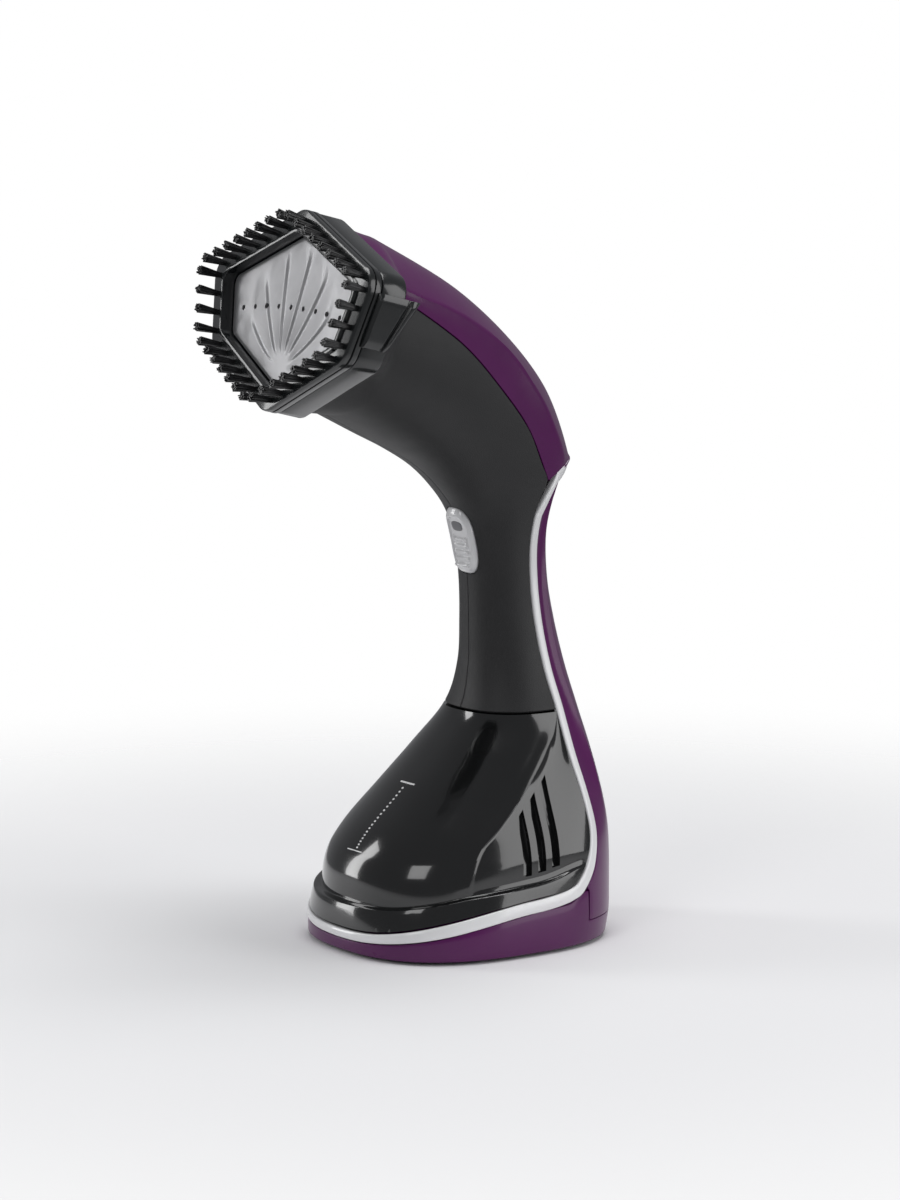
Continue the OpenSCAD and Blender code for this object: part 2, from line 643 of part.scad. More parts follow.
module chamber_cover() {
    color("silver") in_head() translate([0, 2, 0]) difference() {
        union() {
            translate([0, 0, heater_z0 - 3.1]) cylinder(d = cover_d, h = 2);
            translate([0, 0, steam_exit_z]) cylinder(d = hose_bore - 0.1, h = 8 - 3.1 + 0.5);
            translate([0, 0, heater_z0 - 5]) cylinder(d = hose_bore + 3, h = 3);
        }
        translate([0, 0, steam_exit_z - 1]) cylinder(d = 1.6, h = 20);
    }
}
module thermostat() {
    color("white") in_head() translate([25.5, 1, heater_z0]) {
        translate([0, 0, -6]) cylinder(d = 10, h = 5.95);
        for (y = [-3, 3]) translate([-0.4, y - 1, -11]) cube([0.8, 2, 5.5]);
    }
}
module thermal_fuse() {
    color("gainsboro") in_head() translate([-31.5, 2, heater_z0 - 2.1]) rotate([0, 90, 0]) {
        cylinder(d = 4, h = 10);
        translate([0, 0, -4]) cylinder(d = 1, h = 16);
    }
}
module heater_screws() {
    color(steel) in_head() for (p = heater_screw_places) translate([p[0], p[1], heater_z0]) {
        translate([0, 0, -1.6]) cylinder(d = 2 * screw_d - 0.6, h = 1.55);
        translate([0, 0, -1]) cylinder(d = screw_d, h = 8);
    }
}

// ---------------------------------------------------------------- pump and hoses

spout_z = deck_z(deck_back) + tank_wall + spout_d;
pump_y = grip_y + 18;
coil_z0 = spout_z + 18;
pump_z0 = coil_z0 - 6;
pump_z1 = coil_z0 + coil_hgt + 10;
mount_zs = [coil_z0 - 3, coil_z0 + coil_hgt + 3];
module pump_coil() {
    color([0.2, 0.2, 0.25]) translate([0, pump_y, coil_z0]) difference() {
        translate([-coil_wid / 2, -coil_dep / 2, 0]) cube([coil_wid, coil_dep, coil_hgt]);
        translate([0, 0, -1]) cylinder(d = pump_d + 0.1, h = coil_hgt + 2);
    }
}
module pump_barrel() {
    color("ivory") translate([0, pump_y, 0]) difference() {
        union() {
            translate([0, 0, pump_z0]) cylinder(d = pump_d, h = pump_z1 - pump_z0);
            translate([0, 0, pump_z0 - 2.5]) cylinder(d = hose_bore - 0.1, h = pump_z1 - pump_z0 + 5);
        }
        translate([0, 0, pump_z0 + 3]) cylinder(d = piston_d + 2 * run_gap, h = pump_z1 - pump_z0 - 6);
        translate([0, 0, pump_z0 - 5]) cylinder(d = 1.6, h = pump_z1 - pump_z0 + 10);
    }
}
module pump_piston() {
    color(steel) translate([0, pump_y, (pump_z0 + pump_z1) / 2 - 9]) cylinder(d = piston_d, h = 18);
}
module pump_mounts() {
    color(rubber) for (z = mount_zs) translate([0, pump_y, z]) difference() {
        translate([0, 0, -1.25]) cylinder(d = pump_d + 6, h = 2.5);
        translate([0, 0, -2]) cylinder(d = pump_d + 0.1, h = 4);
    }
}
socket_y = bay_y + wall + 0.05;
module inlet_socket() {
    color(soft_black) translate([0, socket_y, spout_z]) along_y() difference() {
        union() {
            cylinder(d = spout_d + 6, h = 4.5);
            translate([0, 0, 4]) cylinder(d = hose_bore - 0.1, h = 3);
        }
        translate([0, 0, -1]) cylinder(d = spout_d + 2 * run_gap + 0.1, h = 4);
        translate([0, 0, -1]) cylinder(d = spout_d + 2.2, h = 2.4);
        cylinder(d = 1.6, h = 12);
    }
}
module socket_seal() {
    color(rubber) translate([0, socket_y + 0.05, spout_z]) along_y()
        tube(spout_d + 2.1, spout_d + 2 * run_gap, 1.2);
}
module suction_hose() {
    start = socket_y + 4.6;
    route = [[0, start, spout_z], [0, start + 2, spout_z], [0, start + 4, spout_z], [0, pump_y - 2.1,
        spout_z + 2.1],
        [0, pump_y, spout_z + 6.6], [0, pump_y, spout_z + 9.2], [0, pump_y, pump_z0 - 0.1]];
    color("white") hose(route, 18);
}
head_up = [0, sin(head_tilt), cos(head_tilt)];
head_out = [0, -cos(head_tilt), sin(head_tilt)];
module steam_hose() {
    inlet = mouth + (2 - plate_drop) * head_up;
    start = inlet + (heater_z0 - 5.1) * head_out;
    bend = mix(inlet, [0, grip_y, grip_top], 0.45) + [0, 16, 16];
    route = [start, start - 4 * head_out, start - 8 * head_out, start - 16 * head_out,
        mix(start - 16 * head_out, bend, 0.5) + [0, 3, 3], bend, [0, grip_y + 8, grip_top + 46],
        [0, grip_y + 8, grip_top + 20], [0, grip_y + 8, grip_top - 6], [0, grip_y + 10, grip_top - 30],
        [0, pump_y - 1, tank_top + 4], [0, pump_y, pump_z1 + 8], [0, pump_y, pump_z1 + 4], [0, pump_y,
            pump_z1 + 0.1]];
    color("white") hose(route, 56);
}

// ---------------------------------------------------------------- trigger and electrics

pivot = [grip_y - 12.5, slot_z1 - 3.2];
function front_at(z, depth, lo = 7, hi = 14, n = 14) = let (m = (lo + hi) / 2, p = skin(m, 0, depth))
    n == 0 ? p[1] : p[2] < z ? front_at(z, depth, m, hi, n - 1) : front_at(z, depth, lo, m, n - 1);
module trigger() {
    z0 = slot_z0 + free_gap;
    face = [for (k = [0:8]) let (z = z0 + trigger_hgt * k / 8, edge = 1 - abs(k - 4) / 4)
        [front_at(z, -trigger_proud * min(1, 0.35 + 2.6 * edge)), z]];
    back = [for (k = [8:-1:0]) let (z = z0 + trigger_hgt * k / 8) [front_at(z, wall + 1), z]];
    color(pale) difference() {
        union() {
            translate([-trigger_wid / 2, 0, 0]) rotate([90, 0, 90]) linear_extrude(trigger_wid)
                polygon(concat(face, back));
            translate([-trigger_wid / 2 + 2, 0, 0]) rotate([90, 0, 90]) linear_extrude(trigger_wid - 4)
                polygon([[pivot[0], pivot[1] + 3], [pivot[0], pivot[1] - 3], [front_at(pivot[1] - 5,
                    wall), pivot[1] - 5],
                    [front_at(pivot[1] + 2, wall), pivot[1] + 2]]);
            translate([-trigger_wid / 2 + 2, pivot[0], pivot[1]]) rotate([0, 90, 0])
                cylinder(d = pin_d + 3, h = trigger_wid - 4);
            translate([-2, front_at(plunger_z, wall), plunger_z - 1.5])
                cube([4, plunger_y - free_gap - front_at(plunger_z, wall), 3]);
        }
        translate([-trigger_wid, pivot[0], pivot[1]]) rotate([0, 90, 0])
            cylinder(d = pin_d + 2 * run_gap, h = 2 * trigger_wid);
    }
}
module trigger_pin() {
    color(steel) translate([-trigger_wid / 2 - 1.5, pivot[0], pivot[1]]) rotate([0, 90, 0])
        cylinder(d = pin_d, h = trigger_wid + 3);
}
plunger_z = slot_z0 + 11;
plunger_y = pivot[0] + 1.6;
switch_y = plunger_y + 2.4;
plunger_d = 2.4;
module microswitch() {
    color([0.15, 0.15, 0.17]) difference() {
        translate([-3.2, switch_y, plunger_z - 5]) cube([6.4, 7, 14]);
        translate([0, switch_y - 1, plunger_z]) along_y() cylinder(d = plunger_d + 2 * run_gap, h = 6);
    }
}
module switch_plunger() {
    color("red") translate([0, plunger_y, plunger_z]) along_y() cylinder(d = plunger_d, h = 5);
}
carrier_y = switch_y + 7.05;
module switch_carrier() {
    cheek = trigger_wid / 2 - 2 + free_gap;
    color(soft_black) {
        difference() {
            translate([-cheek - 2, carrier_y, slot_z0]) cube([2 * cheek + 4, 1.8, trigger_hgt + 4]);
            translate([0, carrier_y - 1, slot_z1 - 9]) along_y() cylinder(d = 4, h = 4);
        }
        for (x = [-cheek - 2, cheek]) difference() {
            translate([x, pivot[0] - 2.6, pivot[1] - 3.5]) cube([2, carrier_y - pivot[0] + 2.65, 7]);
            translate([x - 1, pivot[0], pivot[1]]) rotate([0, 90, 0]) cylinder(d = pin_d + 0.04, h = 4);
        }
    }
}
spring_z = slot_z0 + 3.5;
module trigger_spring() {
    gap = carrier_y - front_at(spring_z, wall + 1);
    color(steel) translate([0, front_at(spring_z, wall + 1) + 0.1, spring_z]) along_y() spring(4.4, 0.5,
        gap - 0.2, 5);
}
module control_board() {
    color([0.1, 0.35, 0.2]) translate([-10, grip_y - 9, tank_top + 13]) cube([20, 1.6, grip_len - 25]);
    color([0.1, 0.1, 0.1]) translate([-5, grip_y - 7.4, tank_top + 18]) cube([10, 4, 8]);
    color("ivory") translate([-7, grip_y - 7.4, tank_top + 28]) cube([14, 5, 5]);
}
block_place = [bay_hw + 0.4, base_len * 0.26, rear_step_z + 0.1];
module terminal_block() {
    color("ivory") translate(block_place) difference() {
        cube([16, 12, 10]);
        for (x = [4, 12]) translate([x, 6, 4]) cylinder(d = 4, h = 10);
        for (x = [4, 12]) translate([x, -1, 3]) rotate([-90, 0, 0]) cylinder(d = 2.6, h = 20);
    }
}
module wire_loom() {
    color("firebrick") for (side = [-1, 1]) {
        route = [[side * 8.5, pump_y - 6, tank_top - 2], [side * 8.5, grip_y + 8, tank_top + 14],
            [side * 8.5, grip_y + 4, grip_top - 14], [side * 8.5, grip_y + 6, grip_top + 10],
            [side * 9, grip_y + 2, grip_top + 34], [side * 10, grip_y - 18, grip_top + 66],
            [side * 15, mouth[1] + 16, mouth[2] + 2]];
        loft(path_rings(smooth_path(route, 24), 1, [1, 0, 0], 6));
    }
}
module cord_gland() {
    wall_y = base_len / 2 * 1.047;
    color(rubber) translate([0, wall_y - 7, gland_z]) along_y() difference() {
        union() {
            cylinder(d = gland_bore + 4.8, h = 9);
            translate([0, 0, -1]) cylinder(d = gland_bore + 8, h = 3);
        }
        translate([0, 0, -2]) cylinder(d = gland_bore, h = 20);
    }
}
module shell_screws() {
    color(steel) for (q = post_spots) let (p = post_at(q)) translate([p[0] - 4, p[1], p[2]]) rotate([0,
        -90, 0])
        cylinder(d = screw_d, h = min(p[0] + 6, 2 * p[0] - 8));
}

// ---------------------------------------------------------------- water tank

filler_z = tank_top - 10.5;
// Slices of the tank between two sections, from the front line round to the trim band
module tank_form(depth, back_depth, s0, s1, steps) {
    cols = 12;
    loft([for (i = [0:steps]) let (s = mix(s0, s1, i / steps), edge = band_deg(s) - band_half(s,
        band_edge + free_gap + 0.5 * trim_t) - 5 * max(0, min(1, 3 - s)))
        let (back = skin(s, edge)[1] - back_depth)
        [for (j = [-cols:cols]) let (p = skin(s, edge * j / cols, depth)) [p[0], min(p[1], back), p[2]]]]);
}
module tank_shell() {
    top_s = joint_s - 0.03;
    color(gloss_black) difference() {
        tank_form(0, 0, 0.6, top_s, 20);
        difference() {
            tank_form(tank_wall, tank_wall, 1, top_s - tank_wall / 14, 16);
            below_deck(tank_wall + 0.3);
            translate([-bay_hw - tank_wall, deck_back - tank_wall, -1])
                cube([2 * (bay_hw + tank_wall), base_len, 2 * tank_top]);
        }
        below_deck(0);
        translate([-bay_hw, deck_back, -1]) cube([2 * bay_hw, base_len, 2 * tank_top]);
        translate([0, deck_back - 8, filler_z]) along_y() cylinder(d = filler_d, h = 20);
        translate([0, deck_back - 8, spout_z]) along_y() cylinder(d = spout_d + 0.1, h = 20);
    }
}
// Space under the tank's curved floor, raised by rise
module below_deck(rise) {
    translate([-base_wid, 0, 0]) rotate([90, 0, 90]) linear_extrude(2 * base_wid)
        polygon(concat(deck_curve(-rise, deck_back), [[far, deck_z(far) + rise], [far, -far], [-far,
            -far]]));
}
module tank_spout() {
    color("ivory") translate([0, deck_back, spout_z]) along_y() difference() {
        union() {
            translate([0, 0, -5]) cylinder(d = spout_d, h = 5 + socket_y - deck_back + 2.5);
            translate([0, 0, -5]) cylinder(d = spout_d + 4, h = 5 - tank_wall - 0.05);
        }
        translate([0, 0, -6]) cylinder(d = spout_d - 3, h = 30);
    }
}
module spout_valve() {
    color(rubber) translate([0, socket_y - 1, spout_z]) along_y() difference() {
        cylinder(d = spout_d - 3.1, h = 3);
        translate([0, 0, -1]) cylinder(d = spout_d - 4.6, h = 3);
    }
}
plug_depth = 5;
module filler_plug() {
    color(rubber) translate([0, deck_back, filler_z]) along_y() {
        translate([0, 0, -plug_depth]) cylinder(d = filler_d - 2 * run_gap, h = plug_depth + 0.2);
        translate([0, 0, 0.1]) cylinder(d = filler_d + 3, h = 2.2);
    }
}
module intake_filter() {
    color("white") translate([0, deck_back - 5.05, spout_z]) along_y() translate([0, 0, -10]) difference() {
        cylinder(d = spout_d + 3, h = 10);
        translate([0, 0, 1.2]) cylinder(d = spout_d + 0.6, h = 12);
        for (a = [0:45:315]) rotate([0, 0, a]) translate([spout_d / 2, 0, 5]) rotate([0, 90, 0])
            cylinder(d = 2, h = 5);
    }
}

// ---------------------------------------------------------------- brush attachment

rear_frame_z = collar_len + free_gap;
tuft_line = grown(plate, frame_rim * 0.55);
tuft_edges = [tufts_upper, tufts_side, tufts_lower, tufts_lower, tufts_side, tufts_upper];
tuft_places = [for (i = [0:5]) let (a = tuft_line[i], b = tuft_line[(i + 1) % 6], n = tuft_edges[i])
    for (k = [0:n - 1]) mix(a, b, (k + 0.5) / n)];
tuft_sink = 2;
flange_z = front_z - 1;
module brush_frame() {
    arm_gap = free_gap;
    color(gloss_black) in_head() {
        difference() {
            union() {
                plate_prism(frame_rim, 8, rear_frame_z, flange_z);
                plate_prism(frame_rim * 0.32, 5, rear_frame_z, front_z);
                for (side = [-1, 1]) clip_arm(side, arm_gap);
            }
            plate_prism(0.6, 4.5, rear_frame_z - 1, front_z + 1);
            for (p = tuft_places) translate([p[0], p[1], flange_z - tuft_sink])
                cylinder(d = tuft_d + 0.04, h = 5);
        }
    }
}
// Arm of the brush frame that reaches back over the side of the collar
module clip_arm(side, arm_gap) {
    reach = collar_len - 8.5;
    difference() {
        intersection() {
            plate_prism(frame_rim, 8, rear_frame_z - reach, rear_frame_z + 1);
            translate([side > 0 ? 20 : -80, -cheek_y + 1, 0]) cube([60, shoulder_y + cheek_y - 1, 60]);
        }
        plate_prism(6 + arm_gap, 5 + arm_gap, 0, rear_frame_z - 0.01);
    }
}
module bristle_tufts() {
    color(rubber) in_head() for (p = tuft_places) translate([p[0], p[1], flange_z - tuft_sink])
        union() {
            cylinder(d = tuft_d, h = tuft_sink + 0.5);
            translate([0, 0, tuft_sink + 0.4]) cylinder(d1 = tuft_d, d2 = tuft_d + 0.5, h = tuft_len - 0.4);
        }
}

// ---------------------------------------------------------------- output

left_grip_shell();
right_grip_shell();
top_cover();
rear_cover();
trim_band();
base_shell();
base_plate();
rubber_feet();
chassis();
head_collar();
sole_plate();
heater_block();
heating_element();
chamber_gasket();
chamber_cover();
thermostat();
thermal_fuse();
heater_screws();
steam_hose();
suction_hose();
pump_coil();
pump_barrel();
pump_mounts();
pump_piston();
inlet_socket();
socket_seal();
switch_carrier();
microswitch();
switch_plunger();
trigger_pin();
trigger_spring();
trigger();
control_board();
terminal_block();
wire_loom();
cord_gland();
shell_screws();
base_screws();
tank_shell();
tank_spout();
spout_valve();
filler_plug();
intake_filter();
brush_frame();
bristle_tufts();
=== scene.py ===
import bpy
import bmesh
import json
import math
import random
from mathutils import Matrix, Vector


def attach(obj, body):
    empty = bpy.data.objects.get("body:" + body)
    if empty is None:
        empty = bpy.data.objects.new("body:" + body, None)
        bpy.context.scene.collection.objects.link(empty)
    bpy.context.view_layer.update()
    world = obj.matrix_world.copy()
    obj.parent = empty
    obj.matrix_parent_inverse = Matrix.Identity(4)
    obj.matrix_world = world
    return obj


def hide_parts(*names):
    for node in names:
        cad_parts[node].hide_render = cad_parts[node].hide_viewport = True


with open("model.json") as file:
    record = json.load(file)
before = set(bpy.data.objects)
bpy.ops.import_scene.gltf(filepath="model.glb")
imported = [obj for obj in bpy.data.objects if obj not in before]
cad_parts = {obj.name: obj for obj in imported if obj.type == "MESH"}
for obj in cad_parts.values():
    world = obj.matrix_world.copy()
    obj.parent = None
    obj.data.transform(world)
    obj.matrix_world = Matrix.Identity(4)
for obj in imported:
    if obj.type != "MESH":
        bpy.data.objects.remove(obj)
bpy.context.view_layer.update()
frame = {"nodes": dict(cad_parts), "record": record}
random.seed(7)
MM = 0.001

# ---------------------------- sizes, in mm
BASE_LEN, BASE_WID = 110, 100
TANK_TOP, GRIP_LEN, GRIP_Y = 88, 50, 22
GRIP_WID, GRIP_DEP = 32.4, 33.8
HEAD_RISE, HEAD_REACH, HEAD_TILT = 99.5, 51, 14
MOUTH_WID, MOUTH_HGT = 76, 68
PLATE_DROP = 2.2
PLATE = [(0, 31), (-43.6, 13), (-37.6, -8), (0, -26.5), (37.6, -8), (43.6, 13)]
COLLAR_LEN, FRAME_T, FRAME_RIM, PLATE_RECESS = 21, 7, 9, 4.5
TRIM_WID = 3.4
FREE_GAP, SEAM_GAP = 0.35, 0.25
SHELL_WALL, COVER_WALL = 2.2, 0.9
GRIP_TOP = TANK_TOP + GRIP_LEN
MOUTH = (0, -HEAD_REACH, GRIP_TOP + HEAD_RISE)
HEAD_TURN = 90 - HEAD_TILT
BARREL_REACH = 10.5
SLOT_LOW = GRIP_TOP + 1.5
TRIGGER_HGT, TRIGGER_WID = 26, 17
STEAM_HOLES, STEAM_PITCH, STEAM_BORE = 9, 8.2, 2.1
GRIP_CURVE = 2.3  # exponent of the grip's and the barrel's rounded section


# ---------------------------- shape rules
def mix(a, b, k):
    """The value or point a share k of the way from a to b."""
    if isinstance(a, (int, float)):
        return a + (b - a) * k
    return tuple(x + (y - x) * k for x, y in zip(a, b))


def ease(k):
    """0 to 1 with a soft start and end."""
    k = min(max(k, 0), 1)
    return k * k * (3 - 2 * k)


def sind(a):
    return math.sin(math.radians(a))


def cosd(a):
    return math.cos(math.radians(a))


def curl(c, n):
    """A sine or cosine bent towards a box: n is 2 for a circle and more for a squarer shape."""
    return math.copysign(abs(c) ** (2 / n), c)


def smooth(v, s):
    """A smooth curve through the rows of v, read at the real position s."""
    i = min(max(int(math.floor(s)), 0), len(v) - 2)
    f = s - i
    a, b, c, d = v[max(i - 1, 0)], v[i], v[i + 1], v[min(i + 2, len(v) - 1)]

    def one(a, b, c, d):
        square = 2 * a - 5 * b + 4 * c - d
        cube = 3 * b - a - 3 * c + d
        return b + 0.5 * ((c - a) * f + square * f * f + cube * f * f * f)

    if isinstance(b, (int, float)):
        return one(a, b, c, d)
    return tuple(one(*q) for q in zip(a, b, c, d))


def through(points, x):
    """A smooth curve through (x, value) points."""
    if x <= points[0][0]:
        return points[0][1]
    if x >= points[-1][0]:
        return points[-1][1]
    for i in range(len(points) - 1):
        if x <= points[i + 1][0]:
            return smooth([p[1] for p in points], i + (x - points[i][0]) / (points[i + 1][0] - points[i][0]))


def bisect(lo, hi, steps, below):
    """The place between lo and hi where below stops being true."""
    for _ in range(steps):
        m = (lo + hi) / 2
        if below(m):
            lo = m
        else:
            hi = m
    return (lo + hi) / 2


# A section is: front y and z, back y and z, half width, and the curl of its front and back halves
def foot(z, front, back, wide, nf, nb):
    """A section of the base and tank, as shares of their sizes."""
    return (-front * BASE_LEN / 2, z * TANK_TOP, back * BASE_LEN / 2, z * TANK_TOP,
            wide * BASE_WID / 2, nf, nb)


def flare(z, kf, kb, kw):
    """A section between the tank's top and the grip's top."""
    low = foot(1, -0.027, 0.922, 0.5, 2.4, 2.4)
    height = mix(TANK_TOP, GRIP_TOP, z)
    return (mix(low[0], GRIP_Y - GRIP_DEP / 2, kf), height, mix(low[2], GRIP_Y + GRIP_DEP / 2, kb), height,
            mix(low[4], GRIP_WID / 2, kw), GRIP_CURVE, GRIP_CURVE)


def neck(a, b, deep, turn, wide):
    """A section between the grip's top and the barrel's mouth, turned towards the head."""
    cy, cz = mix(GRIP_Y, MOUTH[1], a), mix(GRIP_TOP, MOUTH[2], b)
    h, t = mix(GRIP_DEP, MOUTH_HGT, deep) / 2, HEAD_TURN * turn
    return (cy - h * cosd(t), cz - h * sind(t), cy + h * cosd(t), cz + h * sind(t),
            mix(GRIP_WID, MOUTH_WID, wide) / 2, GRIP_CURVE, GRIP_CURVE)


SECTIONS = [
    foot(0, 1, 1, 1, 2.6, 2.6), foot(0.114, 0.996, 1.036, 1, 2.6, 2.6),
    foot(0.227, 0.973, 1.047, 0.98, 2.5, 2.6), foot(0.364, 0.918, 1.055, 0.95, 2.3, 2.6),
    foot(0.5, 0.773, 1.049, 0.9, 2.2, 2.6), foot(0.659, 0.5, 1.029, 0.78, 2.3, 2.6),
    foot(0.83, 0.209, 0.985, 0.65, 2.4, 2.5), foot(1, -0.027, 0.922, 0.5, 2.4, 2.4),
    flare(0.32, 1.07, 0.345, 0.625), flare(0.66, 1.15, 0.714, 0.91), flare(1, 1, 1, 1),
    neck(0.019, 0.156, 0.04, 0.107, 0.03), neck(0.021, 0.296, 0.27, 0.158, 0.1),
    neck(0.033, 0.42, 0.65, 0.197, 0.22), neck(0.143, 0.565, 0.835, 0.317, 0.36),
    neck(0.348, 0.711, 0.9, 0.497, 0.54), neck(0.636, 0.859, 0.947, 0.738, 0.77), neck(1, 1, 1, 1, 1)]
JOINT_S, MOUTH_S = 7, 17
END_S = MOUTH_S + 1


def skin(s, t, depth=0):
    """A point of the outer skin at section s and angle t from the front, set in by depth."""
    r = smooth(SECTIONS, s)
    cy, cz = (r[0] + r[2]) / 2, (r[1] + r[3]) / 2
    hy, hz = (r[0] - r[2]) / 2, (r[1] - r[3]) / 2
    d = math.hypot(hy, hz)
    k = (d - depth) / d * curl(cosd(t), r[5] if cosd(t) > 0 else r[6])
    return ((r[4] - depth) * curl(sind(t), r[5] if cosd(t) > 0 else r[6]), cy + hy * k, cz + hz * k)


def normal_of(surface, s, t):
    """The outward normal of skin or barrel."""
    a = Vector(surface(s + 0.05, t)) - Vector(surface(s - 0.05, t))
    b = Vector(surface(s, t + 1)) - Vector(surface(s, t - 1))
    return b.cross(a).normalized()


def section_at(z):
    """Section of the base at height z, up to section 2."""
    return z / TANK_TOP / 0.114 if z < 0.114 * TANK_TOP else 1 + (z / TANK_TOP - 0.114) / 0.113


def section_for(z):
    """Section whose front lies at height z, anywhere below the grip's top."""
    return bisect(0, 11, 26, lambda m: skin(m, 0)[2] < z)


# ---- steam head frame
def head(x, y, z):
    """A point of the steam head: x to the side, y up the plate, z out along its normal."""
    y -= PLATE_DROP
    return (MOUTH[0] + x, MOUTH[1] + y * cosd(HEAD_TURN) - z * sind(HEAD_TURN),
            MOUTH[2] + y * sind(HEAD_TURN) + z * cosd(HEAD_TURN))


def corners(g):
    """The sole plate's corners grown by g, and the outward normals on both sides of each."""
    out = []
    n = len(PLATE)
    for i in range(n):
        p, q, r = (Vector(PLATE[(i + k) % n]) for k in (-1, 0, 1))
        u, v = (q - p).normalized(), (r - q).normalized()
        a, b = Vector((u.y, -u.x)), Vector((v.y, -v.x))
        out.append((q + g * (a + b) / (1 + a.dot(b)), a, b))
    return out


def head_outline(g, r, steps=8):
    """The plate's outline grown by g, with corners of radius r."""
    out = []
    for q, a, b in corners(g - r):
        start = math.atan2(a.y, a.x)
        turn = math.atan2(b.y, b.x) - start
        turn -= 2 * math.pi * round(turn / (2 * math.pi))
        for k in range(steps + 1):
            w = start + turn * k / steps
            out.append((q.x + r * math.cos(w), q.y + r * math.sin(w)))
    return out


def reach(outline, direction, centre):
    """Where a ray from the centre crosses a convex outline."""
    d, c = Vector(direction).normalized(), Vector(centre)
    for i, p in enumerate(outline):
        p, q = Vector(p) - c, Vector(outline[(i + 1) % len(outline)]) - c
        e = q - p
        det = d.x * -e.y + d.y * e.x
        if abs(det) < 1e-9:
            continue
        k = (p.x * -e.y + p.y * e.x) / det
        m = (d.x * p.y - d.y * p.x) / det
        if k > 0 and -1e-6 <= m <= 1 + 1e-6:
            return c + d * k
    return c


NOSE = head_outline(6.6, 8)


def barrel(s, t):
    """The skin, carried on past the barrel's mouth to the back of the collar."""
    if s <= MOUTH_S:
        return skin(s, t)
    f = s - MOUTH_S
    x = MOUTH_WID / 2 * curl(sind(t), GRIP_CURVE)
    y = -MOUTH_HGT / 2 * curl(cosd(t), GRIP_CURVE) + PLATE_DROP
    q = reach(NOSE, (x, y - PLATE_DROP), (0, PLATE_DROP))
    k = ease(f) * 0.6 + f * 0.4
    return head(mix(x, q.x, k), mix(y, q.y, k), BARREL_REACH * f)


# ---- seams: angles of the trim band's middle from section 0, and of the top cover's edge from section 12
BAND_LIST = [100, 100, 106, 115, 116.5, 111, 103, 98.5, 96.2, 96, 97.5, 101, 110, 140]
COVER_LIST = [118, 100.5, 98, 98.5, 102.5, 106, 107.5]
BAND_EDGE = TRIM_WID / 2 + SEAM_GAP
FOOT_GAP = FREE_GAP + 0.3


def band_deg(s):
    """Angle of the trim band's middle at section s."""
    return smooth(BAND_LIST, s)


def band_half(s, half):
    """Angle between the band's centre line and a line beside it."""
    t = band_deg(s)
    across = (Vector(skin(s, t + 1.5)) - Vector(skin(s, t - 1.5)))
    run = (Vector(skin(s + 0.1, band_deg(s + 0.1))) - Vector(skin(s - 0.1, band_deg(s - 0.1)))).normalized()
    lean = across.normalized().dot(run)
    return half / (across.length / 3) / math.sqrt(max(1 - lean * lean, 0.2))


def cover_deg(s):
    """Angle of the seam between the grip and the top cover at section s."""
    return smooth(COVER_LIST, s - 12)


DECK_BACK, DECK_FRONT_Z, DECK_RISE = BASE_LEN * 0.2, 10.2, 13


def deck_u(y):
    """Share of the way from the deck's front to its back."""
    return min(max((y + BASE_LEN / 2) / (BASE_LEN / 2 + DECK_BACK), -0.2), 1)


def deck_z(y):
    return DECK_FRONT_Z + DECK_RISE * (2 * deck_u(y) - deck_u(y) ** 2)


def under_deck(y, distance):
    """Height of a line a distance below the deck, measured square to it."""
    lean = 2 * DECK_RISE / (BASE_LEN / 2 + DECK_BACK) * (1 - deck_u(y))
    return deck_z(y) - distance * math.sqrt(1 + lean * lean)


def foot_z(t):
    """Height of the trim band's middle round the foot."""
    return under_deck(skin(1.4, t)[1], TRIM_WID / 2 + FOOT_GAP)


FOOT_TURN = 98
BAND_KNOTS = ([(section_at(foot_z(FOOT_TURN * i / 7)), FOOT_TURN * i / 7) for i in range(8)]
              + [(section_at(foot_z(FOOT_TURN)) + 0.1, 103.5), (2.35, 108.5)]
              + [(s, band_deg(s)) for s in range(3, 13)] + [(12.62, band_deg(12.62))])


def band_path(k):
    """Section and angle of the band's middle, from the front line (0) to the tip (1)."""
    return smooth(BAND_KNOTS, k * (len(BAND_KNOTS) - 1))


def band_extra(s, t):
    """Extra width of the band on its lower side, round the foot."""
    return 1.3 * ease((t - 12) / 50) * ease((5.2 - s) / 2.4)


# ---- the sloping line where the top cover meets the trim band, from the sides up to the tip
CORNER_T = 108
TIP_S, TIP_LOW_Z, TIP_RISE, TIP_REACH = 12.66, 175.9, 8.2, 4.0
TIP_TRIM_LOW, TIP_COVER_LOW = 4.1, 4.4


def tip_line(t, drop, out):
    """A point of the line at angle t, lowered by drop and standing out by a share of the tip's reach."""
    x, y, z = skin(TIP_S, t)
    k = (t - CORNER_T) / (180 - CORNER_T)
    flare_y = TIP_REACH * out * ease(k) ** 1.3
    y0 = skin(TIP_S, CORNER_T)[1]
    rise = (y - y0) / (skin(TIP_S, 180)[1] - y0)
    return (x * (1 - 0.03 * k), y + flare_y, TIP_LOW_Z + TIP_RISE * rise - drop)


def rear_top(t):
    """Section of the rear cover's upper edge at angle t."""
    want = tip_line(max(t, CORNER_T), TIP_COVER_LOW, 0)[2]
    return bisect(11.5, 13.2, 20, lambda m: skin(m, t)[2] < want)


# ---------------------------- materials
def noise(nt, place, scale, detail):
    """A noise texture read at place."""
    made = nt.nodes.new("ShaderNodeTexNoise")
    made.inputs["Scale"].default_value = scale
    made.inputs["Detail"].default_value = detail
    nt.links.new(place.outputs["Vector"], made.inputs["Vector"])
    return made


